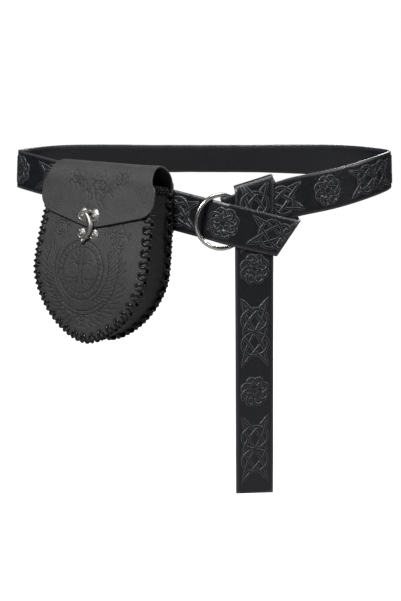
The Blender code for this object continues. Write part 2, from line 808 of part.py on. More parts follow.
def make_clasp(metal):
    upper_back = plate_back(flap_face, UPPER_LOBE_RADIUS, UPPER_LOBE_SPREAD, AXIS_DROP, 0.9)
    axis_out = upper_back + PLATE_THICKNESS + AXIS_LIFT - BARREL_RADIUS / 2
    axis = Vector((CLASP_X, -AXIS_DROP, axis_out))

    def front_face(across, drop):
        return front_depth(across, drop) + PANEL_THICKNESS / 2

    staple_drop = STAPLE_DROP
    lower_back = plate_back(front_face, LOWER_LOBE_RADIUS, LOWER_LOBE_SPREAD, staple_drop, 0.9)
    lower_top = lower_back + PLATE_THICKNESS

    ear_gap = BARREL_LENGTH / 2 + PIN_CLEARANCE
    ear_thickness = 0.0016
    upper = [lobed_plate("upper_outline", UPPER_LOBE_RADIUS, UPPER_LOBE_SPREAD, 0.9, upper_back,
                         PLATE_THICKNESS, AXIS_DROP)]
    for sign in (-1, 1):
        bm = bmesh.new()
        height = axis_out - upper_back - PLATE_THICKNESS / 2 + BARREL_RADIUS * 0.9
        size = Matrix.Diagonal((ear_thickness, BARREL_RADIUS * 2.2, height, 1))
        place = Vector((CLASP_X + sign * (ear_gap + ear_thickness / 2), -AXIS_DROP,
                        upper_back + PLATE_THICKNESS / 2 + height / 2))
        bmesh.ops.create_cube(bm, size=1, matrix=Matrix.Translation(place) @ size)
        upper.append(mesh_from(bm, "ear"))
    upper.append(cylinder("pin", PIN_RADIUS, 2 * ear_gap + ear_thickness, axis))
    join_shapes("clasp_upper_plate", upper, [], metal)

    bar_out = axis_out - HOOK_RADIUS - MOUNT_GAP - STAPLE_RADIUS
    crossing = hook_bow((staple_drop - AXIS_DROP) / HOOK_REACH) * 0.9
    staple_points = []
    for x, level in ((-1, 0), (-1, 0.55), (-0.8, 0.9), (-0.45, 1), (0.45, 1), (0.8, 0.9),
                     (1, 0.55), (1, 0)):
        root = lower_back + PLATE_THICKNESS / 2
        out = root + (bar_out - root) * level
        across = CLASP_X + crossing + x * STAPLE_HALF
        staple_points.append(Vector((across, -staple_drop, out)))
    lower = [lobed_plate("lower_outline", LOWER_LOBE_RADIUS, LOWER_LOBE_SPREAD, 0.9, lower_back,
                         PLATE_THICKNESS, staple_drop),
             bent_bar("staple", staple_points, STAPLE_RADIUS, Vector((0, 1, 0)))]
    join_shapes("clasp_lower_plate", lower, [], metal)

    steps = 12
    arm = []
    for i in range(steps + 1):
        share = i / steps
        bow = hook_bow(share)
        arm.append(Vector((bow, -HOOK_REACH * share, 0)))
    tip = arm[-1]
    nib_drop = staple_drop + STAPLE_RADIUS + MOUNT_GAP * 2 + HOOK_RADIUS * 0.8
    share = (nib_drop - AXIS_DROP) / HOOK_REACH
    nib_x = hook_bow(share)
    nib_start = Vector((nib_x, AXIS_DROP - nib_drop, 0))
    nib_end = nib_start - Vector((0, 0, HOOK_RADIUS + NIB_LENGTH))
    nib_end.z = max(nib_end.z, lower_top + MOUNT_GAP - axis_out)
    ball = bmesh.new()
    bmesh.ops.create_uvsphere(ball, u_segments=14, v_segments=8, radius=BALL_RADIUS)
    bmesh.ops.translate(ball, verts=ball.verts, vec=tip)
    hook = [cylinder("barrel", BARREL_RADIUS, BARREL_LENGTH, Vector(), 20),
            bent_bar("arm", arm, HOOK_RADIUS, Vector((0, 0, 1))),
            bent_bar("nib", [nib_start, nib_end], HOOK_RADIUS * 0.8, Vector((0, 1, 0))),
            mesh_from(ball, "ball")]
    bore = cylinder("bore", PIN_RADIUS + PIN_CLEARANCE, BARREL_LENGTH * 2, Vector())
    join_shapes("clasp_hook", hook, [bore], metal, axis)


def main():
    clear_scene()
    leather = make_material("black_leather", (0.032, 0.032, 0.034), 0.5, 0)
    nickel = make_material("nickel", (0.6, 0.59, 0.56), 0.25, 1)
    aged = make_material("aged_silver", (0.45, 0.44, 0.42), 0.4, 1)
    make_strap(leather)
    make_ring(nickel)
    make_back_flap(leather)
    make_gusset(leather)
    make_front(leather)
    for name, across in LOOP_PLACES.items():
        make_belt_loop(name, across, leather)
    make_clasp(aged)


main()
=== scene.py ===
import math

import bmesh
import bpy
import numpy as np
from mathutils import Matrix, Vector


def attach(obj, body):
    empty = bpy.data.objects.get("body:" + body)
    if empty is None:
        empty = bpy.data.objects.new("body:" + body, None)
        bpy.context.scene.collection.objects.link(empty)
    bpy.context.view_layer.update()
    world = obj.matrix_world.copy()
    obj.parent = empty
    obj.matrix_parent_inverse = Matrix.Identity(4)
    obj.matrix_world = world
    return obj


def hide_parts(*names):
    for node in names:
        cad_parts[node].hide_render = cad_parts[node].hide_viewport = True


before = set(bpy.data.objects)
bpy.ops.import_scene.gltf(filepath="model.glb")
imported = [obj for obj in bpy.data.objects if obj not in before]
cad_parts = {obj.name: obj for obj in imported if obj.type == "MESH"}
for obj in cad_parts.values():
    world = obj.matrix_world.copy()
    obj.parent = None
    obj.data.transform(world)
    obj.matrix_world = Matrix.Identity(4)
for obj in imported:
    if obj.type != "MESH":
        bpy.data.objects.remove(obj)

bl_info = {
    "name": "Belt pouch looks",
    "version": (1, 0, 0),
    "blender": (4, 5, 0),
    "location": "3D View > Sidebar > Belt pouch",
    "description": "Builds the visible pieces of the belt and its pouch on the packed frame",
    "category": "Object",
}

BODY = "belt_and_pouch"
HOOK_BODY = "hook"
UP = Vector((0, 0, 1))

# Strap
STRAP_WIDTH = 0.0403
STRAP_THICKNESS = 0.0024
LAYER_GAP = 0.00035
PASSAGE_SPARE = 0.0003
TAIL_LENGTH = 0.3138
TAIL_SLANT = math.radians(-4)
TAIL_DRIFT = 0.003
TAB_THICKNESS = 0.0014
TAB_WIDTH = 0.016
TAB_LENGTH = 0.034
TAB_NARROWING = 2.2
TAB_RISE_SHARE = 0.9

# Waist opening
HALF_WIDTH = 0.2015
BACK_DEPTH = 0.126
FRONT_DEPTH = 0.1275
FRONT_DROP = 0.0436
LEFT_LINE_DROP = 0.0012
MAIN_REACH = 0.078
BACK_RISE = 0.0054
BACK_LEAN = math.radians(36)

# Ring
RING_X = 0.0166
RING_Z = -0.047
RING_RADIUS = 0.0266
WIRE_RADIUS = 0.0021
RING_STEPS = 120
WIRE_SIDES = 24

# Knot
KNOT_YAW = math.radians(17)
LEFT_YAW = math.radians(27)
LEFT_SLOPE = math.tan(math.radians(-10.95))
MAIN_PITCH = math.radians(14.6)
FRONT_PITCH = math.radians(-14)
SIDE_FOLD_ANGLE = math.radians(54)
SIDE_FOLD_OFFSET = 0.0690
SIDE_FOLD_RADIUS = 0.0041
TOP_FOLD_RADIUS = 0.0062
TOP_FOLD_HEIGHT = -0.0122
FOLD_STEPS = 10
FRONT_LINE_DROP = 0.001

# Pouch
POUCH_X = -0.0825
POUCH_PITCH = math.radians(8)
POUCH_ROLL = math.radians(2.5)
POUCH_STRAP_GAP = 0.0012
MOUTH_Z = -0.0140
PANEL_TOP_WIDTH = 0.114
PANEL_WIDTH = 0.126
PANEL_HEIGHT = 0.157
PANEL_ROUND_HEIGHT = 0.071
PANEL_POWER = 1.7
PANEL_THICKNESS = 0.0022
PANEL_CROWN = 0.005
MOUTH_DEPTH = 0.041
BELLY_DEPTH = 0.048
BASE_DEPTH = 0.044
BELLY_SHARE = 0.6
GUSSET_THICKNESS = 0.002
GUSSET_INSET = 0.0026
GUSSET_SAG = 0.0012
GUSSET_WAVE = 0.0006
GUSSET_RIPPLE = 0.00022
SEAM_GAP = 0.0004

# Flap
FLAP_TOP_WIDTH = 0.111
FLAP_WIDTH = 0.129
FLAP_RISE = 0.0185
FLAP_CORNER_DROP = 0.0275
FLAP_TIP_DROP = 0.0455
FLAP_CORNER_RADIUS = 0.013
FLAP_GAP = 0.0006
FLAP_TIP_ROUND = 0.006

# Clasp
CLASP_X = -0.004
AXIS_DROP = 0.0305
AXIS_LIFT = 0.0046
BARREL_RADIUS = 0.0019
PLATE_THICKNESS = 0.0018
UPPER_LOBE_RADIUS = 0.0056
UPPER_LOBE_SPREAD = 0.0056
LOWER_LOBE_RADIUS = 0.0047
LOWER_LOBE_SPREAD = 0.0062
STAPLE_DROP = 0.0525
HOOK_REACH = 0.0285
MOUNT_GAP = 0.0003

# Clasp's scrolls, in millimetres
UPPER_CURL_X = 6.6
LOWER_CURL_X = 7.0
STAPLE_X = 3.4

# Pattern pressed into the strap
PATTERN_PITCH = 0.1255
ROSETTE_RADIUS = 0.0148
ROSETTE_TURN = 0.39
PANEL_HALF = 0.0355
PANEL_SIDE = 0.0150
PATTERN_START = 0.03
SHARP_BEND = 90
CREASE_PLACE = Vector((0.07, BACK_DEPTH, 0))
CREASE_REACH = 0.09
CREASE_DEPTH = 0.00007
LONG_SWAY = 0.00012
SHORT_SWAY = 0.00008
TAIL_END_HEIGHT = -0.3274
FRONT_ROSETTE_ALONG = -0.003
MAIN_ROSETTE_ALONG = 0.1116
MAIN_ROSETTE_HEIGHT = -0.0173
RIBBON_STEP = 0.0011
RIBBON_COLUMNS = 5

# Distance that counts as out of reach
FAR = 9

# Lines cut into the pouch and holes of its seams
CUT_WIDTH = 0.00078
FIELD_WIDTH_SHARE = 0.90
FIELD_SHIFT = 6
SEAM_MARGIN = 9
HOLE_WIDTH = 0.0034
HOLE_INSET = 0.0048
EDGE_ROLL_WIDTH = 0.0022
EDGE_ROLL_DEPTH = 0.0011
PANEL_COLUMNS = 170
ARCH_STEPS = 46
FLAP_STEPS = 66
UNCUT_DROP = 0.2
SEAM_POINTS = 900
LACE_TOP_MARGIN = 0.004
LACE_FLAP_MARGIN = 0.003
MOUTH_LOOP_LEAN = 0.0018

# Looks
GRAIN_SCALE = 520
PATCH_SCALE = 70
METAL_SPOT_SCALE = 600
METAL_DIRT = (0.02, 0.02, 0.018)
LEATHER_RELIEF = 0.0005
METAL_RELIEF = 0.0001
# how dark the painted shade in hollows and cut lines is, as a share of the leather's darkest colour
PAINTED_SHADE_DARKNESS = 0.15
WHITE = (1, 1, 1, 1)
FLOOR_HALF = 4
FLOOR_COLOUR = (0.30, 0.30, 0.30, 1)

# Camera
CAMERA_PLACE = (-0.0044, -1.25, 0.058)
CAMERA_PITCH = math.radians(-9.3)
SENSOR_WIDTH = 36
FOCAL_SHARE = 1137 / 401


class Plane:
    """An upright plane at the knot: along runs right, out points away from the wearer."""

    def __init__(self, origin, yaw):
        self.origin = Vector(origin)
        self.along = Vector((math.cos(yaw), math.sin(yaw), 0))
        self.out = Vector((math.sin(yaw), -math.cos(yaw), 0))

    def point(self, along, height, level):
        place = self.origin + self.along * along + self.out * level
        return Vector((place.x, place.y, height))

    def heading(self, angle):
        return self.along * math.cos(angle) + UP * math.sin(angle)


RING_CENTRE = Vector((RING_X, -FRONT_DEPTH, RING_Z))
KNOT_PLANE = Plane(RING_CENTRE, KNOT_YAW)
LEFT_PLANE = Plane(RING_CENTRE, -LEFT_YAW)
LAYER_PITCH = STRAP_THICKNESS + LAYER_GAP
PLY_LEVEL = WIRE_RADIUS + LAYER_GAP + STRAP_THICKNESS / 2
WIRE_END = RING_RADIUS + WIRE_RADIUS
WRAP_LEVEL = PLY_LEVEL + LAYER_PITCH
FRONT_LEVEL = PLY_LEVEL + 2 * LAYER_PITCH
RING_DROP = -FRONT_DROP
FRONT_HEIGHT = RING_Z - FRONT_LINE_DROP


def smooth_share(share):
    share = min(max(share, 0), 1)
    return share * share * (3 - 2 * share)


def smooth_curve(points, steps):
    """A Catmull-Rom curve through rows of numbers, with steps pieces between two rows."""
    ends = [[2 * a - b for a, b in zip(points[0], points[1])]]
    ends += [list(point) for point in points]
    ends.append([2 * a - b for a, b in zip(points[-1], points[-2])])
    curve = []
    for k in range(1, len(ends) - 2):
        for i in range(steps):
            t = i / steps
            row = []
            for a, b, c, d in zip(ends[k - 1], ends[k], ends[k + 1], ends[k + 2]):
                row.append(0.5 * (2 * b + (c - a) * t + (2 * a - 5 * b + 4 * c - d) * t ** 2
                                  + (3 * b - a - 3 * c + d) * t ** 3))
            curve.append(row)
    curve.append(list(points[-1]))
    return curve


def main_height(along):
    return RING_DROP + along * math.tan(MAIN_PITCH)


def front_height(along):
    return FRONT_HEIGHT + along * math.tan(FRONT_PITCH)


class Station:
    """One section of the strap: its centre, half its width as a vector, and its outer side."""

    def __init__(self, centre, across, outward, thickness=STRAP_THICKNESS):
        self.centre = centre
        self.across = across
        self.outward = outward.normalized()
        self.thickness = thickness


def fold_line_across(fold_angle, heading):
    """Half a section that lies along the slanted line of a fold."""
    slant = math.sin(abs(heading - fold_angle))
    return KNOT_PLANE.heading(fold_angle) * STRAP_WIDTH / 2 / slant


def half_turn(along, height, level, fold_angle, heading, radius, outward):
    """The strap turns over a slanted line and comes back on the other side."""
    axis = KNOT_PLANE.heading(fold_angle)
    ahead = KNOT_PLANE.heading(heading)
    cosine = ahead.dot(axis)
    sine = math.sqrt(1 - cosine * cosine)
    side = (ahead - axis * cosine) / sine
    normal = KNOT_PLANE.out * outward
    start = KNOT_PLANE.point(along, height, level)
    across = axis * STRAP_WIDTH / 2 / sine
    stations = []
    for i in range(FOLD_STEPS + 1):
        turn = math.pi * i / FOLD_STEPS
        travel = radius * turn
        centre = (start + axis * cosine / sine * travel + side * radius * math.sin(turn)
                  - normal * radius * (1 - math.cos(turn)))
        out = normal * math.cos(turn) + side * math.sin(turn)
        stations.append(Station(centre, across, out))
    return stations


def ring_fold_offset():
    """How far right of the ring's centre the strap can fold round its wire."""
    above = main_height(0) - RING_Z
    reach = abs(above) * math.cos(MAIN_PITCH) + STRAP_WIDTH / 2
    inside = RING_RADIUS - WIRE_RADIUS
    chord = math.sqrt(max(inside ** 2 - reach ** 2, 0)) + WIRE_RADIUS
    return (chord - above * math.sin(MAIN_PITCH)) * math.cos(MAIN_PITCH)


def ring_tab():
    """The turned end behind the ring, pared thin and narrow, and the fold round the wire."""
    fold = ring_fold_offset()
    ahead = KNOT_PLANE.heading(MAIN_PITCH)
    upward = KNOT_PLANE.heading(MAIN_PITCH + math.pi / 2)
    centre = KNOT_PLANE.point(fold, main_height(fold), 0)
    tab_level = WIRE_RADIUS + LAYER_GAP + TAB_THICKNESS / 2
    stations = []
    for share, closed in ((0, 1), (0.12, 1), (0.24, 0.85), (0.36, 0.3), (0.46, 0), (0.66, 0),
                          (0.85, 0)):
        along = TAB_LENGTH * (1 - share)
        narrow = smooth_share((1 - share) * TAB_NARROWING)
        half = STRAP_WIDTH / 2 * (1 - narrow) + TAB_WIDTH / 2 * narrow
        lower = -(STRAP_WIDTH / 2 - half) * TAB_RISE_SHARE
        shut_level = PLY_LEVEL - (STRAP_THICKNESS + TAB_THICKNESS) / 2 - LAYER_GAP
        level = -tab_level * (1 - closed) + shut_level * closed
        place = centre + ahead * along + KNOT_PLANE.out * level + upward * lower
        stations.append(Station(place, upward * half, -KNOT_PLANE.out, TAB_THICKNESS))
    for i in range(FOLD_STEPS + 1):
        turn = math.pi * i / FOLD_STEPS
        thickness = TAB_THICKNESS + (STRAP_THICKNESS - TAB_THICKNESS) * smooth_share(i / 4)
        radius = WIRE_RADIUS + LAYER_GAP + thickness / 2
        out = -KNOT_PLANE.out * math.cos(turn) - ahead * math.sin(turn)
        stations.append(Station(centre + out * radius, upward * STRAP_WIDTH / 2, out, thickness))
    return stations


def ring_passage():
    """How the strap goes through the ring, as rows of distance along and level."""
    reach = STRAP_WIDTH / 2 + abs(FRONT_HEIGHT - RING_Z)
    inside = RING_RADIUS - WIRE_RADIUS * 0.8
    wire = -math.sqrt(max(inside ** 2 - reach ** 2, 0))
    clear = PLY_LEVEL + PASSAGE_SPARE
    fold = ring_fold_offset()
    above = FRONT_HEIGHT + STRAP_WIDTH / 2 - main_height(fold)
    nose = fold - above * math.tan(MAIN_PITCH)
    over = PLY_LEVEL + LAYER_PITCH + PASSAGE_SPARE
    sine = min((clear + over) / (nose - wire), 0.95)
    cosine = math.sqrt(1 - sine * sine)
    return [(wire + clear * sine, -clear * cosine), (nose - over * sine, over * cosine),
            (nose, (over + FRONT_LEVEL) / 2), (nose + STRAP_WIDTH / 10, FRONT_LEVEL)]


def left_line_start():
    along, level = ring_passage()[0]
    return KNOT_PLANE.point(along, 0, level)


def left_line_point(distance):
    """A point of the left strap's middle line, at a level distance back from the ring."""
    start = left_line_start()
    height = RING_DROP - LEFT_LINE_DROP - distance * LEFT_SLOPE
    back = LEFT_PLANE.along * -distance
    return Vector((start.x + back.x, start.y + back.y, height))


def waist_rows():
    """Middle line of the strap from the ring, round the waist and back through the ring."""
    fold = ring_fold_offset()
    rows = []
    for share in (0, 0.3, 0.65, 1):
        along = fold + (WIRE_END - fold) * share
        rows.append((*KNOT_PLANE.point(along, main_height(along), PLY_LEVEL), 0, 0))
    for share in (0.25, 0.5, 0.75, 1):
        along = WIRE_END + (MAIN_REACH - WIRE_END) * share
        rows.append((*KNOT_PLANE.point(along, main_height(along), PLY_LEVEL), 0, 0))
    # columns: share of half width, share of depth, share of front drop, share of back lean
    for x, y, drop, lean in (
            (0.62, -0.755, 0.405, 0), (0.755, -0.64, 0.27, 0), (0.885, -0.47, 0.12, 0.03),
            (0.97, -0.25, 0.03, 0.06), (1, 0, 0, 0.10), (0.965, 0.28, 0, 0.22),
            (0.86, 0.57, 0, 0.45), (0.68, 0.79, 0, 0.72), (0.45, 0.93, 0, 0.92),
            (0.22, 0.985, 0, 1), (0, 1, 0, 1), (-0.22, 0.985, 0, 1), (-0.45, 0.93, 0, 0.92),
            (-0.68, 0.79, 0, 0.72), (-0.86, 0.57, 0, 0.45), (-0.965, 0.28, 0, 0.22),
            (-1, 0.02, 0, 0.10), (-0.98, -0.13, 0.02, 0.06)):
        depth = BACK_DEPTH if y > 0 else FRONT_DEPTH
        height = BACK_RISE * smooth_share(y) - drop * FRONT_DROP
        rows.append((x * HALF_WIDTH, y * depth, height, lean * BACK_LEAN, 0))
    for distance in (0.192, 0.160, 0.128, 0.096, 0.064, 0.032, 0.012, 0):
        rows.append((*left_line_point(distance), 0, 0))
    passage = ring_passage()
    for along, level in passage[1:]:
        rows.append((*KNOT_PLANE.point(along, front_height(along), level), 0, 1))
    for upright in (1, 0.5, 0):
        along = passage[-1][0] + STRAP_WIDTH * 0.62 * (1 - upright * 0.8)
        rows.append((*KNOT_PLANE.point(along, front_height(along), FRONT_LEVEL), 0, upright))
    return rows


def waist_stations():
    curve = smooth_curve(waist_rows(), 4)
    places = [Vector(row[:3]) for row in curve]
    stations = []
    for i in range(1, len(places) - 1):
        ahead = (places[i + 1] - places[i - 1]).normalized()
        outward = ahead.cross(UP).normalized()
        lean = curve[i][3]
        leaned = UP * math.cos(lean) - outward * math.sin(lean)
        across = (leaned - ahead * leaned.dot(ahead)).normalized()
        across = across.lerp(UP, curve[i][4])
        across = across / ahead.cross(across).length
        stations.append(Station(places[i], across * STRAP_WIDTH / 2, ahead.cross(across)))
    return stations


def knot_stations():
    """The strap turns back round itself, goes up behind, over the top and hangs down."""
    extreme = SIDE_FOLD_OFFSET
    inset = SIDE_FOLD_RADIUS + STRAP_THICKNESS / 2
    step = inset / math.sin(SIDE_FOLD_ANGLE - FRONT_PITCH)
    along = extreme - step * math.cos(FRONT_PITCH)
    height = front_height(extreme) - step * math.sin(FRONT_PITCH)
    side = half_turn(along, height, FRONT_LEVEL, SIDE_FOLD_ANGLE, FRONT_PITCH,
                     SIDE_FOLD_RADIUS, 1)
    stations = list(side)
    back_heading = 2 * SIDE_FOLD_ANGLE - FRONT_PITCH
    top_angle = (back_heading + 1.5 * math.pi) / 2 - math.pi
    start = side[-1].centre
    rise = TOP_FOLD_HEIGHT - start.z
    run = rise / math.tan(back_heading)
    begin = (start - RING_CENTRE).dot(KNOT_PLANE.along)
    low_level = FRONT_LEVEL - 2 * SIDE_FOLD_RADIUS
    top_level = WRAP_LEVEL - 2 * TOP_FOLD_RADIUS
    first = fold_line_across(SIDE_FOLD_ANGLE, back_heading)
    last = fold_line_across(top_angle, back_heading)
    steps = 6
    for i in range(1, steps):
        share = i / steps
        level = low_level + (top_level - low_level) * smooth_share(share)
        place = KNOT_PLANE.point(begin + run * share, start.z + rise * share, level)
        stations.append(Station(place, first.lerp(last, share), -KNOT_PLANE.out))
    top = half_turn(begin + run, TOP_FOLD_HEIGHT, top_level, top_angle, back_heading,
                    TOP_FOLD_RADIUS, -1)
    stations += top
    end = top[-1].centre
    centre_along = (end - RING_CENTRE).dot(KNOT_PLANE.along)
    square = KNOT_PLANE.along * STRAP_WIDTH / 2
    for share in (0.04, 0.08, 0.3, 0.65, 0.95):
        along = centre_along + TAIL_DRIFT * share
        place = KNOT_PLANE.point(along, end.z - TAIL_LENGTH * share, WRAP_LEVEL)
        turn = top[-1].across.lerp(square, smooth_share(share / 0.08))
        turn = turn * (STRAP_WIDTH / 2 / abs(turn.normalized().dot(KNOT_PLANE.along)) / turn.length)
        stations.append(Station(place, turn, KNOT_PLANE.out))
    place = KNOT_PLANE.point(centre_along + TAIL_DRIFT, end.z - TAIL_LENGTH, WRAP_LEVEL)
    turn = KNOT_PLANE.heading(TAIL_SLANT) * STRAP_WIDTH / 2 / math.cos(TAIL_SLANT)
    stations.append(Station(place, turn, KNOT_PLANE.out))
    return stations


def strap_stations():
    tab = ring_tab()
    waist = waist_stations()
    knot = knot_stations()
    begin = (waist[-1].centre - RING_CENTRE).dot(KNOT_PLANE.along)
    finish = (knot[0].centre - RING_CENTRE).dot(KNOT_PLANE.along)
    along = (begin + finish) / 2
    place = KNOT_PLANE.point(along, front_height(along), FRONT_LEVEL)
    link = Station(place, (waist[-1].across + knot[0].across) / 2, KNOT_PLANE.out)
    return tab + waist + [link] + knot


class StrapPath:
    """Maps a place on the flat strap to the worn one: u along it, v across, h above its face."""

    def __init__(self):
        rows = []
        for item in strap_stations():
            rows.append((*item.centre, *item.across, *item.outward, item.thickness))
        table = np.array(smooth_curve(rows, 3))
        self.centres = table[:, 0:3]
        self.across = table[:, 3:6]
        self.outward = table[:, 6:9]
        self.outward /= np.linalg.norm(self.outward, axis=1)[:, None]
        self.thick = table[:, 9]
        steps = np.linalg.norm(np.diff(self.centres, axis=0), axis=1)
        self.length = np.concatenate([[0], np.cumsum(steps)])
        ahead = np.gradient(self.centres, axis=0)
        ahead /= np.linalg.norm(ahead, axis=1)[:, None]
        self.skew = (self.across * ahead).sum(axis=1)
        turning = np.linalg.norm(np.gradient(self.outward, axis=0), axis=1)
        self.bend = turning / np.maximum(np.gradient(self.length), 1e-5)

    def place(self, u, v, h):
        """Points for arrays of u, v and h that have one value per point."""
        u = np.atleast_1d(np.asarray(u, dtype=float))
        share = np.atleast_1d(np.asarray(v, dtype=float)) / (STRAP_WIDTH / 2)
        order = np.arange(len(self.length))
        spots = np.empty(len(u))
        for i in range(len(u)):
            line = np.maximum.accumulate(self.length + share[i] * self.skew)
            spots[i] = np.interp(u[i], line, order)
        low = np.clip(spots.astype(int), 0, len(order) - 2)
        part = (spots - low)[:, None]

        def between(table):
            return table[low] * (1 - part) + table[low + 1] * part

        out = between(self.outward)
        out /= np.linalg.norm(out, axis=1)[:, None]
        wall = between(self.thick[:, None])
        flatter = np.clip(1.3 - between(self.bend[:, None]) / SHARP_BEND, 0.1, 1)
        lift = wall / 2 + np.atleast_1d(np.asarray(h, dtype=float))[:, None] * flatter
        return between(self.centres) + between(self.across) * share[:, None] + out * lift

    def nearest(self, point, first=0, last=None):
        """The length at which the middle line passes closest to a point."""
        gap = np.linalg.norm(self.centres - np.array(tuple(point)), axis=1)
        gap[:first] = FAR
        if last:
            gap[last:] = FAR
        best = int(np.argmin(gap))
        low = max(best - 1, 0)
        high = min(best + 1, len(gap) - 1)
        fine = np.linspace(low, high, 81)
        index = np.clip(fine.astype(int), 0, len(gap) - 2)
        part = (fine - index)[:, None]
        spots = self.centres[index] * (1 - part) + self.centres[index + 1] * part
        k = int(np.argmin(np.linalg.norm(spots - np.array(tuple(point)), axis=1)))
        return float(np.interp(fine[k], np.arange(len(gap)), self.length))


def pouch_frame():
    """Matrix of the pouch: x runs right, y up, z out of the front panel, from its mouth."""
    line = left_line_start()
    distance = (line.x - POUCH_X) / math.cos(LEFT_YAW)
    out = LEFT_PLANE.out
    away = STRAP_THICKNESS / 2 + POUCH_STRAP_GAP + PANEL_THICKNESS / 2
    origin = left_line_point(distance) + out * away
    origin.z = MOUTH_Z
    axes = Matrix((LEFT_PLANE.along, UP, out)).transposed().to_4x4()
    return (Matrix.Translation(origin) @ axes @ Matrix.Rotation(-POUCH_ROLL, 4, "Z")
            @ Matrix.Rotation(-POUCH_PITCH, 4, "X"))


POUCH = pouch_frame()


def half_width(drop):
    """Half the panels' width at a distance below the mouth."""
    straight = PANEL_HEIGHT - PANEL_ROUND_HEIGHT
    if drop <= straight:
        flare = math.sin(max(drop, 0) / straight * math.pi / 2)
        return (PANEL_TOP_WIDTH + (PANEL_WIDTH - PANEL_TOP_WIDTH) * flare) / 2
    share = min((drop - straight) / PANEL_ROUND_HEIGHT, 1)
    return PANEL_WIDTH / 2 * (1 - share ** PANEL_POWER) ** (1 / PANEL_POWER)


def pouch_depth(drop):
    """Distance from the back panel's middle surface to the front panel's, at the seam."""
    share = min(max(drop / PANEL_HEIGHT, 0), 1)
    if share < BELLY_SHARE:
        return MOUTH_DEPTH + (BELLY_DEPTH - MOUTH_DEPTH) * smooth_share(share / BELLY_SHARE)
    past = smooth_share((share - BELLY_SHARE) / (1 - BELLY_SHARE))
    return BELLY_DEPTH + (BASE_DEPTH - BELLY_DEPTH) * past


def front_depth(across, drop):
    """The front panel's middle surface, which is crowned between its seams."""
    share = min(max(drop / PANEL_HEIGHT, 0), 1)
    width = max(half_width(min(max(drop, 0), PANEL_HEIGHT * 0.99)), PANEL_WIDTH * 0.1)
    side = min(abs(across) / width, 1)
    crown = PANEL_CROWN * math.sin(share * math.pi) * (1 - side ** 2)
    return pouch_depth(drop) + crown


def flap_surface(across, travel):
    """The flap past the mouth: over in an arch, then down over the front panel."""
    front = front_depth(across, 0) + PANEL_THICKNESS + FLAP_GAP
    if travel < 1:
        turn = math.pi * travel
        return Vector((across, FLAP_RISE * math.sin(turn), front / 2 * (1 - math.cos(turn))))
    drop = (travel - 1) * FLAP_TIP_DROP
    return Vector((across, -drop, front_depth(across, drop) + PANEL_THICKNESS + FLAP_GAP))


def flap_half(travel):
    """Half the back panel's width, then the flap's, as it widens towards its corners."""
    if travel < 0.5:
        share = smooth_share(travel * 2)
        return (PANEL_TOP_WIDTH + (FLAP_TOP_WIDTH - PANEL_TOP_WIDTH) * share) / 2
    share = smooth_share((travel - 0.5) / 0.9)
    return (FLAP_TOP_WIDTH + (FLAP_WIDTH - FLAP_TOP_WIDTH) * share) / 2


def flap_edge_drop(across):
    """How far the flap's free edge lies below the mouth: a shallow V with round corners."""
    straight = FLAP_WIDTH / 2 - FLAP_CORNER_RADIUS
    side = min(abs(across), FLAP_WIDTH / 2)
    slope = (FLAP_TIP_DROP - FLAP_CORNER_DROP) / (FLAP_WIDTH / 2)
    eased = math.sqrt(side ** 2 + FLAP_TIP_ROUND ** 2) - FLAP_TIP_ROUND
    drop = FLAP_TIP_DROP - slope * eased
    if side > straight:
        past = (side - straight) / FLAP_CORNER_RADIUS
        drop -= FLAP_CORNER_RADIUS * (1 - math.sqrt(max(1 - past ** 2, 0)))
    return drop


def flap_face(across, drop):
    """The outer face of the flap."""
    return front_depth(across, drop) + PANEL_THICKNESS * 1.5 + FLAP_GAP


def grid_mesh(places, wrap_rows=False, wrap_columns=False, values=None):
    """A mesh from an array of rows x columns x 3 places, made from one grid operator.

    Values is a dict of attribute name to a rows x columns array.
    """
    places = np.asarray(places, dtype=float)
    if wrap_rows:
        places = np.concatenate([places, places[:1]], axis=0)
    if wrap_columns:
        places = np.concatenate([places, places[:, :1]], axis=1)
    rows, columns = places.shape[:2]
    bm = bmesh.new()
    bmesh.ops.create_grid(bm, x_segments=columns - 1, y_segments=rows - 1, size=1)
    layers = {}
    for key in values or {}:
        layers[key] = bm.verts.layers.float.new(key)
    for vert in bm.verts:
        i = round((vert.co.y + 1) / 2 * (rows - 1))
        j = round((vert.co.x + 1) / 2 * (columns - 1))
        vert.co = places[i, j]
        for key, layer in layers.items():
            table = values[key]
            vert[layer] = float(table[min(i, table.shape[0] - 1), min(j, table.shape[1] - 1)])
    if wrap_rows or wrap_columns:
        bmesh.ops.remove_doubles(bm, verts=bm.verts, dist=1e-7)
    return bm


def close_ends(bm):
    """Fills the open ends of a tube or a wrapped strip."""
    edges = [edge for edge in bm.edges if edge.is_boundary]
    if edges:
        bmesh.ops.holes_fill(bm, edges=edges, sides=0)


def merge(parts):
    """One bmesh from several."""
    whole = bmesh.new()
    for bm in parts:
        mesh = bpy.data.meshes.new("part")
        bm.to_mesh(mesh)
        bm.free()
        whole.from_mesh(mesh)
        bpy.data.meshes.remove(mesh)
    return whole


def link_mesh(name, bm, material):
    """A new object in the scene from a bmesh."""
    mesh = bpy.data.meshes.new(name)
    bm.to_mesh(mesh)
    bm.free()
    mesh.materials.append(material)
    obj = bpy.data.objects.new(name, mesh)
    bpy.context.scene.collection.objects.link(obj)
    return obj


def add_piece(name, bm, material, body, nodes=(), smooth_angle=math.radians(50), fix=True):
    """Finishes a piece: normals, material, smooth shading, and the body that it rides on."""
    if fix:
        bmesh.ops.recalc_face_normals(bm, faces=bm.faces)
    obj = link_mesh(name, bm, material)
    obj.data.shade_smooth()
    obj.data.set_sharp_from_angle(angle=smooth_angle)
    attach(obj, body)
    if nodes:
        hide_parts(*nodes)
    return obj


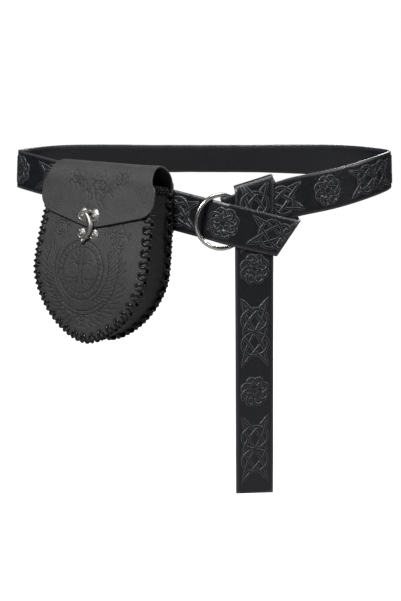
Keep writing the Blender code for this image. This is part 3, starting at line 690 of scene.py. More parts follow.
def tube(points, radii, sides=10, flat=1.0, square=None):
    """A round bar through points. Radii is one number or one per point."""
    points = [Vector(point) for point in points]
    count = len(points)
    if not hasattr(radii, "__len__"):
        radii = [radii] * count
    rows = []
    last_side = None
    for i, point in enumerate(points):
        before = points[i - 1] if i > 0 else point
        after = points[i + 1] if i < count - 1 else point
        ahead = (after - before).normalized()
        if square is not None:
            side = ahead.cross(square).normalized()
        elif last_side is None:
            side = ahead.cross(Vector((0.3, 0.5, 0.8))).normalized()
        else:
            side = (last_side - ahead * last_side.dot(ahead)).normalized()
        last_side = side
        third = ahead.cross(side)
        row = []
        for k in range(sides):
            turn = 2 * math.pi * k / sides
            row.append(tuple(point + side * (math.cos(turn) * radii[i])
                             + third * (math.sin(turn) * radii[i] * flat)))
        rows.append(row)
    bm = grid_mesh(rows, wrap_columns=True)
    close_ends(bm)
    return bm


def add_node(tree, kind, inputs=None, **settings):
    """A new node with its settings and inputs."""
    node = tree.nodes.new("ShaderNode" + kind)
    for key, value in settings.items():
        setattr(node, key, value)
    feed(tree, node, inputs or {})
    return node


def feed(tree, node, inputs):
    """Sets a node's inputs, each to a value or to a link from another node's output."""
    for key, value in inputs.items():
        if isinstance(value, bpy.types.NodeSocket):
            tree.links.new(value, node.inputs[key])
        else:
            node.inputs[key].default_value = value


def new_group(name, outputs):
    """A node group with number outputs."""
    group = bpy.data.node_groups.new(name, "ShaderNodeTree")
    for output in outputs:
        group.interface.new_socket(name=output, in_out="OUTPUT", socket_type="NodeSocketFloat")
    return group


def grain_group():
    """Leather grain: a fine pebble with creases, and slow patches of wear."""
    name = "Leather grain"
    if name in bpy.data.node_groups:
        return bpy.data.node_groups[name]
    group = new_group(name, ("Height", "Patches"))
    size = group.interface.new_socket(name="Scale", in_out="INPUT", socket_type="NodeSocketFloat")
    size.default_value = GRAIN_SCALE
    scale = group.nodes.new("NodeGroupInput").outputs["Scale"]
    place = add_node(group, "TexCoord").outputs["Object"]
    pebble = add_node(group, "TexVoronoi", {"Vector": place, "Scale": scale},
                      feature="DISTANCE_TO_EDGE")
    finer = add_node(group, "Math", {0: scale, 1: 2.3}, operation="MULTIPLY")
    fine = add_node(group, "TexNoise", {"Vector": place, "Scale": finer.outputs[0], "Detail": 6})
    patch = add_node(group, "TexNoise", {"Vector": place, "Scale": PATCH_SCALE, "Detail": 8,
                                         "Roughness": 0.72})
    shallow = add_node(group, "Math", {0: pebble.outputs["Distance"], 1: 0.16},
                       operation="MINIMUM")
    total = add_node(group, "Math", {0: shallow.outputs[0], 1: 2.4, 2: fine.outputs["Fac"]},
                     operation="MULTIPLY_ADD")
    feed(group, group.nodes.new("NodeGroupOutput"),
         {"Height": total.outputs[0], "Patches": patch.outputs["Fac"]})
    return group


def edge_and_hollow_group():
    """Masks from the mesh's own shape: sharp edges, which the leather lightens as rubbing and painted
    highlight, and hollows, which the leather darkens as painted shade and the metal as dirt.
    """
    name = "Edge and hollow masks"
    if name in bpy.data.node_groups:
        return bpy.data.node_groups[name]
    group = new_group(name, ("Edge wear and highlight", "Hollow"))
    end = group.nodes.new("NodeGroupOutput")
    shape = add_node(group, "NewGeometry").outputs["Pointiness"]
    # the first mask lightens sharp edges: edge wear and painted highlight; the second darkens
    # hollows: painted shade on the leather, dirt on the metal
    for output, low, high in (("Edge wear and highlight", 0.52, 0.62), ("Hollow", 0.48, 0.40)):
        span = add_node(group, "MapRange", {"Value": shape, "From Min": low, "From Max": high})
        feed(group, end, {output: span.outputs["Result"]})
    return group


def mixed(tree, factor, first, second):
    """A colour between two others; each is a colour or the output of a node."""
    first, second = [(*value, 1) if isinstance(value, tuple) else value
                     for value in (first, second)]
    return add_node(tree, "Mix", {0: factor, 6: first, 7: second}, data_type="RGBA").outputs[2]


def larger(tree, first, second):
    """The larger of two values, at most 1."""
    node = add_node(tree, "Math", {0: first, 1: second}, operation="MAXIMUM", use_clamp=True)
    return node.outputs[0]


def attribute(tree, name):
    return add_node(tree, "Attribute", attribute_name=name).outputs["Fac"]


def new_material(name):
    """A material with its node tree and its shader."""
    material = bpy.data.materials.new(name)
    material.use_nodes = True
    return material, material.node_tree, material.node_tree.nodes["Principled BSDF"]


def leather(name, dark, light, wear_and_highlight, roughness, bump, groove_shade=False, sheen=0.4):
    """Leather with grain, slow colour changes, a lighter colour along ribbon top edges, which is
    painted highlight, and on sharp edges, which is partly rubbing and partly painted highlight,
    painted shade in hollows and, if asked, painted shade in cut lines and at ribbon feet.
    """
    material, tree, shader = new_material(name)
    grain = add_node(tree, "Group", node_tree=grain_group())
    edges_and_hollows = add_node(tree, "Group", node_tree=edge_and_hollow_group())
    patches = grain.outputs["Patches"]
    # ribbon top edges and sharp edges get a lighter colour: painted highlight on the ribbons, partly
    # edge wear and partly painted highlight elsewhere
    wear_and_highlight_mask = larger(tree, attribute(tree, "painted_rim_highlight"), edges_and_hollows.outputs["Edge wear and highlight"])
    # hollows, cut lines and ribbon feet get a near-black colour: painted shade
    depth = edges_and_hollows.outputs["Hollow"]
    if groove_shade:
        depth = larger(tree, attribute(tree, "groove_shade"), depth)
    colour = mixed(tree, patches, dark, light)
    colour = mixed(tree, wear_and_highlight_mask, colour, wear_and_highlight)
    colour = mixed(tree, depth, colour, tuple(value * PAINTED_SHADE_DARKNESS for value in dark))
    rough = add_node(tree, "MapRange", {"Value": patches, "To Min": roughness - 0.05,
                                        "To Max": roughness + 0.09})
    relief = add_node(tree, "Bump", {"Strength": bump, "Distance": LEATHER_RELIEF,
                                     "Height": grain.outputs["Height"]})
    feed(tree, shader, {"Base Color": colour, "Normal": relief.outputs["Normal"],
                        "Roughness": larger(tree, depth, rough.outputs["Result"]),
                        "Specular IOR Level": sheen})
    return material


def metal(name, colour, roughness, dirt):
    """Cast or drawn metal with soft scratches and dark hollows."""
    material, tree, shader = new_material(name)
    edges_and_hollows = add_node(tree, "Group", node_tree=edge_and_hollow_group())
    place = add_node(tree, "TexCoord").outputs["Object"]
    spots = add_node(tree, "TexNoise", {"Vector": place, "Scale": METAL_SPOT_SCALE, "Detail": 5})
    depth = add_node(tree, "Math", {0: edges_and_hollows.outputs["Hollow"], 1: dirt},
                     operation="MULTIPLY", use_clamp=True)
    rough = add_node(tree, "MapRange", {"Value": spots.outputs["Fac"],
                                        "To Min": roughness - 0.06, "To Max": roughness + 0.12})
    relief = add_node(tree, "Bump", {"Strength": 0.12, "Distance": METAL_RELIEF,
                                     "Height": spots.outputs["Fac"]})
    feed(tree, shader, {"Metallic": 1, "Roughness": rough.outputs["Result"],
                        "Base Color": mixed(tree, depth.outputs[0], colour, METAL_DIRT),
                        "Normal": relief.outputs["Normal"]})
    return material


def shared(name):
    """The pieces' materials, made once."""
    if name in bpy.data.materials:
        return bpy.data.materials[name]
    looks = bpy.context.scene.pouch_looks
    # the third colour of each leather lightens ribbon top edges and sharp edges: painted highlight,
    # and on sharp edges also edge wear
    if name == "strap leather":
        return leather(name, (0.0018, 0.0021, 0.0032), (0.0068, 0.0073, 0.0100),
                       (0.115, 0.118, 0.130), looks.strap_roughness, looks.grain * 0.35,
                       groove_shade=True, sheen=0.46)
    if name == "pouch leather":
        return leather(name, (0.007, 0.007, 0.0077), (0.037, 0.037, 0.0387), (0.050, 0.050, 0.052),
                       looks.pouch_roughness, looks.grain, groove_shade=True)
    # the gusset gets a darker copy of the pouch leather: painted shade
    if name == "shaded gusset leather":
        return leather(name, (0.004, 0.004, 0.0043), (0.008, 0.008, 0.0087), (0.028, 0.028, 0.029),
                       looks.pouch_roughness, looks.grain)
    if name == "lace leather":
        return leather(name, (0.0025, 0.0025, 0.0027), (0.005, 0.005, 0.0055), (0.009, 0.009, 0.0095),
                       0.24, looks.grain * 0.3, sheen=0.22)
    if name == "nickel wire":
        return metal(name, (0.60, 0.58, 0.54), 0.18, 0.4)
    return metal(name, (0.25, 0.246, 0.232), 0.42, 2.4)


def even_line(points, step, closed):
    """The same line with points at even steps, rounded at its corners."""
    rows = list(points)
    if closed:
        rows = [points[-2], points[-1]] + rows + [points[0], points[1], points[2]]
    curve = np.array(smooth_curve(rows, 10))
    if closed:
        curve = curve[20:-20]
    length = np.concatenate([[0], np.cumsum(np.linalg.norm(np.diff(curve, axis=0), axis=1))])
    count = max(int(length[-1] / step), 4)
    spots = np.linspace(0, length[-1], count + 1)
    line = np.stack([np.interp(spots, length, curve[:, k]) for k in range(2)], axis=1)
    return line[:-1] if closed else line


def rosette_lines():
    """A round knot of eight lobes, in metres along and across the strap."""
    points = []
    count = 96
    for i in range(count):
        turn = 2 * math.pi * 3 * i / count
        radius = ROSETTE_RADIUS * (0.62 + 0.36 * math.cos(turn * 8 / 3))
        points.append((radius * math.cos(turn + ROSETTE_TURN),
                       radius * math.sin(turn + ROSETTE_TURN)))
    inner = ROSETTE_RADIUS * 0.33
    ring = [(inner * math.cos(k * math.pi / 6), inner * math.sin(k * math.pi / 6))
            for k in range(12)]
    return [(points, True), (ring, True)]


def lattice_lines():
    """A long knot panel with two bulges on each side and a pointed horn at each corner."""
    # columns: share of half length, share of half width
    wave = [(-1, -1), (-0.80, -0.58), (-0.62, -0.18), (-0.42, 0.26), (-0.20, 0.64), (0, 0.80),
            (0.20, 0.64), (0.42, 0.26), (0.62, -0.18), (0.80, -0.58), (1, -1)]
    cross = [(-0.99, -0.97), (-0.76, -0.80), (-0.52, -0.66), (-0.30, -0.42), (-0.12, -0.17),
             (0.12, 0.17), (0.30, 0.42), (0.52, 0.66), (0.76, 0.80), (0.99, 0.97)]
    lines = []
    for shares in (wave, cross):
        for side in (PANEL_SIDE, -PANEL_SIDE):
            lines.append(([(x * PANEL_HALF, y * side) for x, y in shares], False))
    for centre in (-0.35, 0.35):
        ring = []
        for k in range(8):
            turn = (k + 0.5) * math.pi / 4
            ring.append(((centre + 0.33 * math.cos(turn)) * PANEL_HALF,
                         0.93 * math.sin(turn) * PANEL_SIDE))
        lines.append((ring, True))
    return lines


def crossings(lines):
    """Places where the lines cross, as (first line, its place, second line, its place)."""
    found = []
    pieces = []
    for line, closed in lines:
        following = np.roll(line, -1, axis=0) if closed else line[1:]
        start = line if closed else line[:-1]
        pieces.append((start, following))
    for a in range(len(lines)):
        for b in range(a, len(lines)):
            first, first_end = pieces[a]
            second, second_end = pieces[b]
            for i in range(len(first)):
                p = first[i]
                r = first_end[i] - p
                q = second
                s = second_end - second
                cross = r[0] * s[:, 1] - r[1] * s[:, 0]
                cross = np.where(np.abs(cross) < 1e-14, 1e-14, cross)
                gap = q - p
                t = (gap[:, 0] * s[:, 1] - gap[:, 1] * s[:, 0]) / cross
                u = (gap[:, 0] * r[1] - gap[:, 1] * r[0]) / cross
                for j in np.nonzero((t >= 0) & (t < 1) & (u >= 0) & (u < 1))[0]:
                    near = abs(i - int(j)) in (0, 1, len(first) - 1)
                    if a == b and (near or int(j) < i):
                        continue
                    found.append((a, i + t[j], b, int(j) + u[j]))
    return found


def weave(lines, found):
    """For each line, the places where it passes under another, over and under by turns."""
    visits = []
    for k, (a, i, b, j) in enumerate(found):
        visits.append((a, i, k, 0))
        visits.append((b, j, k, 1))
    visits.sort()
    order = {}
    counts = {}
    for line, _, k, side in visits:
        order[(k, side)] = counts.get(line, 0)
        counts[line] = counts.get(line, 0) + 1
    parity = {}
    for line in range(len(lines)):
        if line in parity:
            continue
        parity[line] = 0
        waiting = [line]
        while waiting:
            here = waiting.pop()
            for k, (a, _, b, _) in enumerate(found):
                if a == b or here not in (a, b):
                    continue
                other = b if here == a else a
                if other not in parity:
                    total = order[(k, 0)] + order[(k, 1)] + 1 + parity[here]
                    parity[other] = total % 2
                    waiting.append(other)
    under = {line: [] for line in range(len(lines))}
    for k, (a, i, b, j) in enumerate(found):
        over = (order[(k, 0)] + parity[a]) % 2 == 1
        if over:
            under[b].append(j)
        else:
            under[a].append(i)
    return under


def ribbon_design(raw, width):
    """A motif's ribbons: rows of along, across, height share, painted shade and painted highlight."""
    lines = [(even_line(points, RIBBON_STEP, closed), closed) for points, closed in raw]
    under = weave(lines, crossings(lines))
    # columns: share of half width, height share, painted shade at the ribbon's foot, painted
    # highlight along its top edges
    profile = ((-1.42, -0.05, 0, 0), (-1.18, 0.06, 0.9, 0), (-1.02, 0.55, 0.5, 0.2),
               (-0.84, 1, 0, 0.75), (-0.56, 0.90, 0.1, 0), (0.56, 0.90, 0.1, 0), (0.84, 1, 0, 0.75),
               (1.02, 0.55, 0.5, 0.2), (1.18, 0.06, 0.9, 0), (1.42, -0.05, 0, 0))
    designs = []
    for index, (line, closed) in enumerate(lines):
        count = len(line)
        before = np.roll(line, 1, axis=0)
        after = np.roll(line, -1, axis=0)
        if not closed:
            before[0] = line[0]
            after[-1] = line[-1]
        ahead = after - before
        ahead /= np.linalg.norm(ahead, axis=1)[:, None]
        square = np.stack([-ahead[:, 1], ahead[:, 0]], axis=1)
        rise = np.ones(count)
        taper = np.ones(count)
        order = np.arange(count)
        for spot in under[index]:
            gap = np.abs(order - spot)
            if closed:
                gap = np.minimum(gap, count - gap)
            share = np.clip((gap * RIBBON_STEP - width * 0.45) / (width * 0.45), 0, 1)
            rise = np.minimum(rise, 0.10 + 0.90 * share * share * (3 - 2 * share))
        if not closed:
            ends = np.minimum(order, count - 1 - order) / 5
            taper = np.clip(0.25 + ends * 0.75, 0, 1)
        rows = []
        for offset, height, shade, wear_and_highlight in profile:
            spot = line + square * (offset * width / 2 * taper)[:, None]
            lift = height * (rise if height > 0.15 else 0.4 + 0.6 * rise)
            rows.append(np.stack([spot[:, 0], spot[:, 1], lift * taper,
                                  np.full(count, shade), wear_and_highlight * rise], axis=1))
        designs.append((np.stack(rows, axis=1), closed))
    return designs


def pattern_places(path):
    """Where the motifs lie along the strap, as rows of kind and length along it."""
    total = path.length[-1]
    places = []
    for height, kind in ((-0.0944, "rosette"), (-0.1586, "panel"), (-0.2199, "rosette"),
                         (-0.2804, "panel"), (-0.042, "panel")):
        places.append((kind, total - (height - TAIL_END_HEIGHT)))
    front = path.nearest(KNOT_PLANE.point(FRONT_ROSETTE_ALONG, front_height(FRONT_ROSETTE_ALONG),
                                          FRONT_LEVEL), 200)
    main = path.nearest(KNOT_PLANE.point(MAIN_ROSETTE_ALONG, MAIN_ROSETTE_HEIGHT, PLY_LEVEL),
                        60, 200)
    middle = (front + main) / 2
    for start, step in ((main, PATTERN_PITCH / 2), (front, -PATTERN_PITCH / 2)):
        spot = start
        kind = 0
        while (spot - middle) * step < 0:
            places.append((("rosette", "panel")[kind % 2], spot))
            spot += step
            kind += 1
    places.append(("panel", main - PATTERN_PITCH / 2))
    places.append(("panel", front + PATTERN_PITCH / 2))
    return [place for place in places if place[1] > PATTERN_START]


def make_strap(looks):
    path = StrapPath()
    # columns: share of half width, share of half thickness; the outer face comes first
    profile = []
    for k in range(13):
        profile.append((-0.975 + 1.95 * k / 12, 1.0))
    profile += [(0.993, 0.72), (1, 0.3), (1, -0.3), (0.993, -0.72)]
    for k in range(7):
        profile.append((0.975 - 1.95 * k / 6, -1.0))
    profile += [(-0.993, -0.72), (-1, -0.3), (-1, 0.3), (-0.993, 0.72)]
    rows = []
    lengths = path.length
    back = path.nearest(CREASE_PLACE)
    crease = np.clip(1 - np.abs(lengths - back) / CREASE_REACH, 0, 1)
    for share, side in profile:
        sway = (LONG_SWAY * np.sin(lengths * 95 + share * 2.0)
                + SHORT_SWAY * np.sin(lengths * 233))
        if side < 0:
            sway = (sway + CREASE_DEPTH * np.sin(lengths * 1700 + 3 * np.sin(lengths * 41))
                    * crease)
        place = (path.centres + path.across * share
                 + path.outward * (path.thick / 2 * side + sway)[:, None])
        rows.append(place)
    bm = grid_mesh(np.stack(rows, axis=1), wrap_columns=True)
    close_ends(bm)
    add_piece("strap_leather", bm, shared("strap leather"), BODY, ["belt_strap"])
    designs = {"rosette": ribbon_design(rosette_lines(), looks.ribbon_width),
               "panel": ribbon_design(lattice_lines(), looks.ribbon_width)}
    parts = []
    for kind, spot in pattern_places(path):
        for design, closed in designs[kind]:
            flat = design.reshape(-1, RIBBON_COLUMNS)
            height = flat[:, 2] * looks.ribbon_height
            places = path.place(flat[:, 0] + spot, flat[:, 1], height)
            places = places.reshape(design.shape[0], design.shape[1], 3)
            # each ribbon carries its painted shade and painted highlight as attributes that the
            # leather reads
            ribbon = grid_mesh(places, wrap_rows=closed, wrap_columns=True,
                               values={"groove_shade": design[:, :, 3], "painted_rim_highlight": design[:, :, 4]})
            close_ends(ribbon)
            parts.append(ribbon)
    add_piece("strap_knotwork", merge(parts), shared("strap leather"), BODY,
              smooth_angle=math.radians(80))


def make_ring():
    bm = bmesh.new()
    turn = Matrix.Rotation(KNOT_YAW, 4, "Z") @ Matrix.Rotation(math.pi / 2, 4, "X")
    bmesh.ops.create_circle(bm, segments=WIRE_SIDES, radius=WIRE_RADIUS,
                            matrix=Matrix.Translation((RING_RADIUS, 0, 0))
                            @ Matrix.Rotation(math.pi / 2, 4, "X"))
    bmesh.ops.spin(bm, geom=bm.edges[:], cent=(0, 0, 0), axis=(0, 0, 1),
                   angle=2 * math.pi, steps=RING_STEPS, use_merge=True)
    bmesh.ops.transform(bm, verts=bm.verts, matrix=Matrix.Translation(RING_CENTRE) @ turn)
    add_piece("nickel_ring", bm, shared("nickel wire"), BODY, ["belt_ring"])


def polar(x, y, radius, turn, side=1):
    """The point at a radius and an angle from x and y; side -1 mirrors it."""
    return (x + side * radius * math.cos(turn), y - radius * math.sin(turn))


def arc(x, y, radius, first, last, count=24):
    """Points of a circle's arc on a panel, in millimetres and degrees, y down."""
    return [polar(x, y, radius, math.radians(first + (last - first) * i / count))
            for i in range(count + 1)]


def facing(angle, side):
    """The angle, or its mirror image on the left side."""
    return angle if side > 0 else 180 - angle


def front_cuts():
    """Lines cut into the front panel, in millimetres right of its middle and below its mouth."""
    middle = 88
    lines = [(arc(0, middle, 29, 0, 360, 72), 1.0), (arc(0, middle, 22.5, 0, 360, 60), 0.8)]
    for k in range(30):
        turn = math.radians(k * 12 + 4)
        inner = 24.0 if k % 3 else 23.4
        outer = 27.6 if k % 2 else 26.2
        lean = 0.035 if k % 4 == 0 else -0.02
        lines.append(([polar(0, middle, inner, turn), polar(0, middle, outer, turn + lean)], 0.7))
    for side in (-1, 1):
        # a plain tree: trunk, branches above and roots below
        trunk = [(side * x, middle + y) for x, y in ((2.5, -4), (1.5, 3), (3, 9), (8, 15))]
        lines.append((trunk, 0.8))
        for reach, rise, bend in ((19, -3, -9), (16, -10, -12), (10, -16, -14), (4, -20, -12)):
            lines.append(([(side * 2, middle - 4), (side * reach * 0.5, middle + bend * 0.8),
                           (side * reach * 0.85, middle + rise)], 0.7))
        for reach, fall in ((18, 8), (13, 14), (5, 19)):
            lines.append(([(side * 2, middle + 7), (side * reach * 0.55, middle + 9),
                           (side * reach, middle + fall)], 0.7))
        # long curved bands of short strokes beside the round field
        for radius, first, last in ((35, -62, 28), (47, -58, 24)):
            lines.append((arc(0, middle - 2, radius if side > 0 else radius - 1,
                              facing(first, side), facing(last, side), 40), 0.9))
        for k in range(15):
            turn = math.radians(-58 + 5.8 * k)
            for low in (36.5, 41.5):
                lines.append(([polar(0, middle - 2, low, turn, side),
                               polar(0, middle - 2, low + 4, turn + 0.09, side)], 0.8))
        # rows of strokes towards the seam, closer together below
        for radius, first, last, count in ((49, -66, 20, 13), (53.5, -74, 6, 12),
                                           (58, -78, -18, 9)):
            for k in range(count):
                turn = math.radians(first + (last - first) * k / (count - 1))
                start = polar(0, middle - 4, radius - 1.6, turn - 0.05, side)
                end = polar(0, middle - 4, radius + 1.8, turn + 0.03, side)
                edge = half_width(max(start[1], end[1], 1) / 1000) * 1000
                if edge - abs(end[0] * FIELD_WIDTH_SHARE - FIELD_SHIFT) > SEAM_MARGIN:
                    lines.append(([start, end], 0.75))
    # curls above the bands
    for side, x, y in ((1, 36, 46), (-1, -34, 50), (1, 45, 58), (-1, -27, 36)):
        for radius, first, last in ((9, 20, 250), (6, 60, 300), (3.2, 90, 340)):
            lines.append((arc(x, y, radius, facing(first, side), facing(last, side), 18), 0.8))
        for k in range(5):
            turn = math.radians(30 + 40 * k)
            lines.append(([polar(x, y, 10, turn, side), polar(x, y, 14, turn + 0.3, side)], 0.7))
    # a knot under the round field
    for k in range(3):
        lines.append((arc(*polar(3, 137, 4, math.radians(90 + 120 * k)), 5.2, 0, 360), 0.8))
    for first, last, radius in ((212, 318, 38), (216, 312, 42)):
        lines.append((arc(1, middle + 2, radius, first, last, 40), 0.8))
    return [([(x * FIELD_WIDTH_SHARE - FIELD_SHIFT, y) for x, y in points], strength)
            for points, strength in lines]


def flap_cuts():
    """Lines cut into the flap, in millimetres right of its middle and below the mouth."""
    lines = [([(-3, 10), (0, 18), (4, 24)], 0.7), ([(-10, 12), (-7, 20), (-9, 27)], 0.7),
             ([(9, 13), (7, 20), (11, 25)], 0.7)]
    for x, y, radius in ((-24, -3, 7.5), (2, 1, 8.5), (25, -4, 7.0)):
        for k in range(4):
            lobe = polar(x, y, radius * 0.5, math.radians(45 + 90 * k))
            lines.append((arc(*lobe, radius * 0.52, 0, 360, 20), 0.8))
        for k in range(8):
            turn = math.radians(22 + 45 * k)
            lines.append(([polar(x, y, radius * 1.12, turn),
                           polar(x, y, radius * 1.5, turn + 0.25)], 0.7))
    for side in (-1, 1):
        for k in range(4):
            lines.append(([(side * (6 + 4 * k), 13 - k), (side * (12 + 4 * k), 8 - 2 * k),
                           (side * (14 + 5 * k), 1 - 2 * k)], 0.7))
        lines.append((arc(side * 12, 17, 7, facing(20, side), facing(200, side), 16), 0.7))
    return lines


def cut_depth(x, y, lines, width=CUT_WIDTH):
    """Share by which places, in metres, lie in the cut lines."""
    depth = np.zeros(x.shape)
    px = x.ravel()
    py = y.ravel()
    out = depth.ravel()
    for points, strength in lines:
        for (ax, ay), (bx, by) in zip(points, points[1:]):
            ax, ay, bx, by = ax / 1000, ay / 1000, bx / 1000, by / 1000
            close = ((px > min(ax, bx) - width) & (px < max(ax, bx) + width)
                     & (py > min(ay, by) - width) & (py < max(ay, by) + width))
            spots = np.nonzero(close)[0]
            if not len(spots):
                continue
            dx = bx - ax
            dy = by - ay
            span = max(dx * dx + dy * dy, 1e-12)
            t = np.clip(((px[spots] - ax) * dx + (py[spots] - ay) * dy) / span, 0, 1)
            gap = np.hypot(px[spots] - ax - t * dx, py[spots] - ay - t * dy)
            share = np.clip(1 - gap / width, 0, 1)
            out[spots] = np.maximum(out[spots], share * (2 - share) * strength)
    return out.reshape(x.shape)


def placed(points):
    """Places in the pouch's own coordinates, moved into the row's frame."""
    table = np.asarray(points, dtype=float)
    turn = np.array(POUCH.to_3x3())
    return table @ turn.T + np.array(tuple(POUCH.translation))


def softness(x, y):
    """Slow unevenness of a leather panel."""
    return (0.00030 * np.sin(x * 61 + y * 37) + 0.00024 * np.sin(y * 83 - x * 29 + 1.3)
            + 0.00012 * np.sin(x * 190 + 0.7) * np.sin(y * 171))


def panel_rows(fine):
    """Distances below the mouth, closer round the bottom."""
    straight = PANEL_HEIGHT - PANEL_ROUND_HEIGHT
    drops = [straight * i / fine for i in range(fine)]
    for i in range(fine + 1):
        turn = i / fine * math.pi / 2 * 0.985
        drops.append(straight + PANEL_ROUND_HEIGHT * math.sin(turn))
    return drops


def make_front(looks, shares):
    rows = [(shares * half_width(drop), drop) for drop in panel_rows(112)]
    x = np.array([across for across, _ in rows])
    y = np.array([np.full(len(shares), drop) for _, drop in rows])
    z = np.array([[front_depth(value, drop) for value in across] for across, drop in rows])
    edge = np.minimum(np.abs(1 - np.abs(shares))[None, :] * np.abs(x).max(axis=1)[:, None],
                      PANEL_HEIGHT - y)
    roll = np.clip(1 - edge / EDGE_ROLL_WIDTH, 0, 1) ** 2
    holes = [([(px * 1000, py * 1000), (px * 1000 + 0.1, py * 1000)], 1.0)
             for px, py in lace_holes(looks)]
    # the cut lines and the lace holes, which are only shallow dents, are painted dark through the
    # groove attribute: painted shade
    cut = np.maximum(cut_depth(x, y, front_cuts()), cut_depth(x, y, holes, HOLE_WIDTH))
    face = (z + PANEL_THICKNESS / 2 + softness(x, y) - roll * EDGE_ROLL_DEPTH
            - cut * looks.cut_depth)
    bm = grid_mesh(placed(np.stack([x, -y, face], axis=2)), values={"groove_shade": cut})
    front = add_piece("pouch_front_leather", bm, shared("pouch leather"), BODY,
                      ["pouch_front"], fix=False)
    thicken(front, PANEL_THICKNESS * 0.8)


def back_flap_rows(shares):
    """Rows of the back panel from its bottom up, the arch over the mouth and the flap.

    Each row has its places, and its distances across and down for the cut lines.
    """
    rows = []
    for drop in reversed(panel_rows(22)[1:]):
        across = shares * half_width(drop)
        rows.append(([(value, -drop, 0.0) for value in across], across,
                     np.full(len(shares), UNCUT_DROP)))
    for i in range(ARCH_STEPS + 1):
        travel = i / ARCH_STEPS
        across = shares * flap_half(travel)
        to_front = (1 - travel) * math.pi * MOUTH_DEPTH / 2
        rows.append(([tuple(flap_surface(value, min(travel, 0.9999))) for value in across],
                     across, np.full(len(shares), -to_front)))
    for i in range(1, FLAP_STEPS + 1):
        width = flap_half(1 + i / FLAP_STEPS)
        downs = [flap_edge_drop(share * FLAP_WIDTH / 2) * i / FLAP_STEPS for share in shares]
        rows.append(([tuple(flap_surface(share * width, 1 + down / FLAP_TIP_DROP))
                      for share, down in zip(shares, downs)], shares * width, np.array(downs)))
    return [np.array(table) for table in zip(*rows)]


def make_flap(looks, shares):
    places, x, y = back_flap_rows(shares)
    cut = cut_depth(x, y, flap_cuts())
    normal = np.cross(np.gradient(places, axis=0), np.gradient(places, axis=1))
    normal /= np.maximum(np.linalg.norm(normal, axis=2), 1e-12)[:, :, None]
    lift = PANEL_THICKNESS / 2 + softness(x * 0.7, y * 1.2 + 0.3) * 0.8 - cut * looks.cut_depth
    # the cut lines are also painted dark through the groove attribute: painted shade
    bm = grid_mesh(placed(places + normal * lift[:, :, None]), values={"groove_shade": cut})
    flap = add_piece("pouch_flap_leather", bm, shared("pouch leather"), BODY,
                     ["pouch_back_flap"], fix=False)
    thicken(flap, PANEL_THICKNESS * 0.9)


def make_panels(looks):
    even = np.linspace(-1, 1, PANEL_COLUMNS + 1)
    shares = np.sin(even * math.pi / 2) * 0.25 + even * 0.75
    make_front(looks, shares)
    make_flap(looks, shares)
    make_gusset()
    for name in ("belt_loop_left", "belt_loop_right"):
        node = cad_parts[name]
        node.data.materials.clear()
        node.data.materials.append(shared("pouch leather"))


def thicken(obj, thickness):
    """Gives a surface its wall on the inner side."""
    wall = obj.modifiers.new("Wall", "SOLIDIFY")
    wall.thickness = thickness
    wall.offset = -1


def seam_line(inset, count=200):
    """Points round the sides and bottom with their inward directions, evenly spaced."""
    drops = panel_rows(60)
    side = [(half_width(drop), drop) for drop in drops]
    loop = np.array([(-x, y) for x, y in side] + list(reversed(side)))
    length = np.concatenate([[0], np.cumsum(np.linalg.norm(np.diff(loop, axis=0), axis=1))])
    spots = np.linspace(0, length[-1], count)
    line = np.stack([np.interp(spots, length, loop[:, k]) for k in range(2)], axis=1)
    ahead = np.gradient(line, axis=0)
    for _ in range(3):
        ahead[1:-1] = (ahead[:-2] + ahead[1:-1] * 2 + ahead[2:]) / 4
    ahead /= np.linalg.norm(ahead, axis=1)[:, None]
    inward = np.stack([ahead[:, 1], -ahead[:, 0]], axis=1)
    return line + inward * inset, inward, spots


def make_gusset():
    line, inward, spots = seam_line(GUSSET_INSET, 260)
    steps = 14
    rows = []
    for place, normal, spot in zip(line, inward, spots):
        back = PANEL_THICKNESS / 2 + SEAM_GAP
        outer = front_depth(*place) - PANEL_THICKNESS / 2 - SEAM_GAP * 2
        row = []
        for side in (0, 1):
            for k in range(steps + 1):
                share = k / steps if side == 0 else 1 - k / steps
                sag = math.sin(share * math.pi) * (GUSSET_SAG + GUSSET_WAVE * math.sin(spot * 140))
                ripple = (GUSSET_RIPPLE * math.sin(spot * 420 + share * 5)
                          * math.sin(share * math.pi))
                x, drop = place + normal * (sag + ripple + side * GUSSET_THICKNESS)
                row.append((x, -drop, back + (outer - back) * share))
        rows.append(row)
    bm = grid_mesh(placed(rows), wrap_columns=True)
    close_ends(bm)
    add_piece("pouch_gusset_leather", bm, shared("shaded gusset leather"), BODY,
              ["pouch_gusset"])


def lace_places(looks):
    """The seam's points, inward directions and lengths, and the lengths at its holes."""
    line, inward, spots = seam_line(0, SEAM_POINTS)
    count = int(spots[-1] / looks.lace_pitch)
    start = (spots[-1] - looks.lace_pitch * (count - 1)) / 2
    return line, inward, spots, [start + looks.lace_pitch * i for i in range(count)]


def place_at(spot, spots):
    """The number of the seam's point at a length along it."""
    return int(np.interp(spot, spots, np.arange(len(spots))))


def lace_holes(looks):
    """Places of the front panel's holes, right of its middle and below its mouth."""
    line, inward, spots, centres = lace_places(looks)
    found = []
    for centre in centres:
        k = place_at(centre, spots)
        found.append(line[k] + inward[k] * HOLE_INSET)
    return found


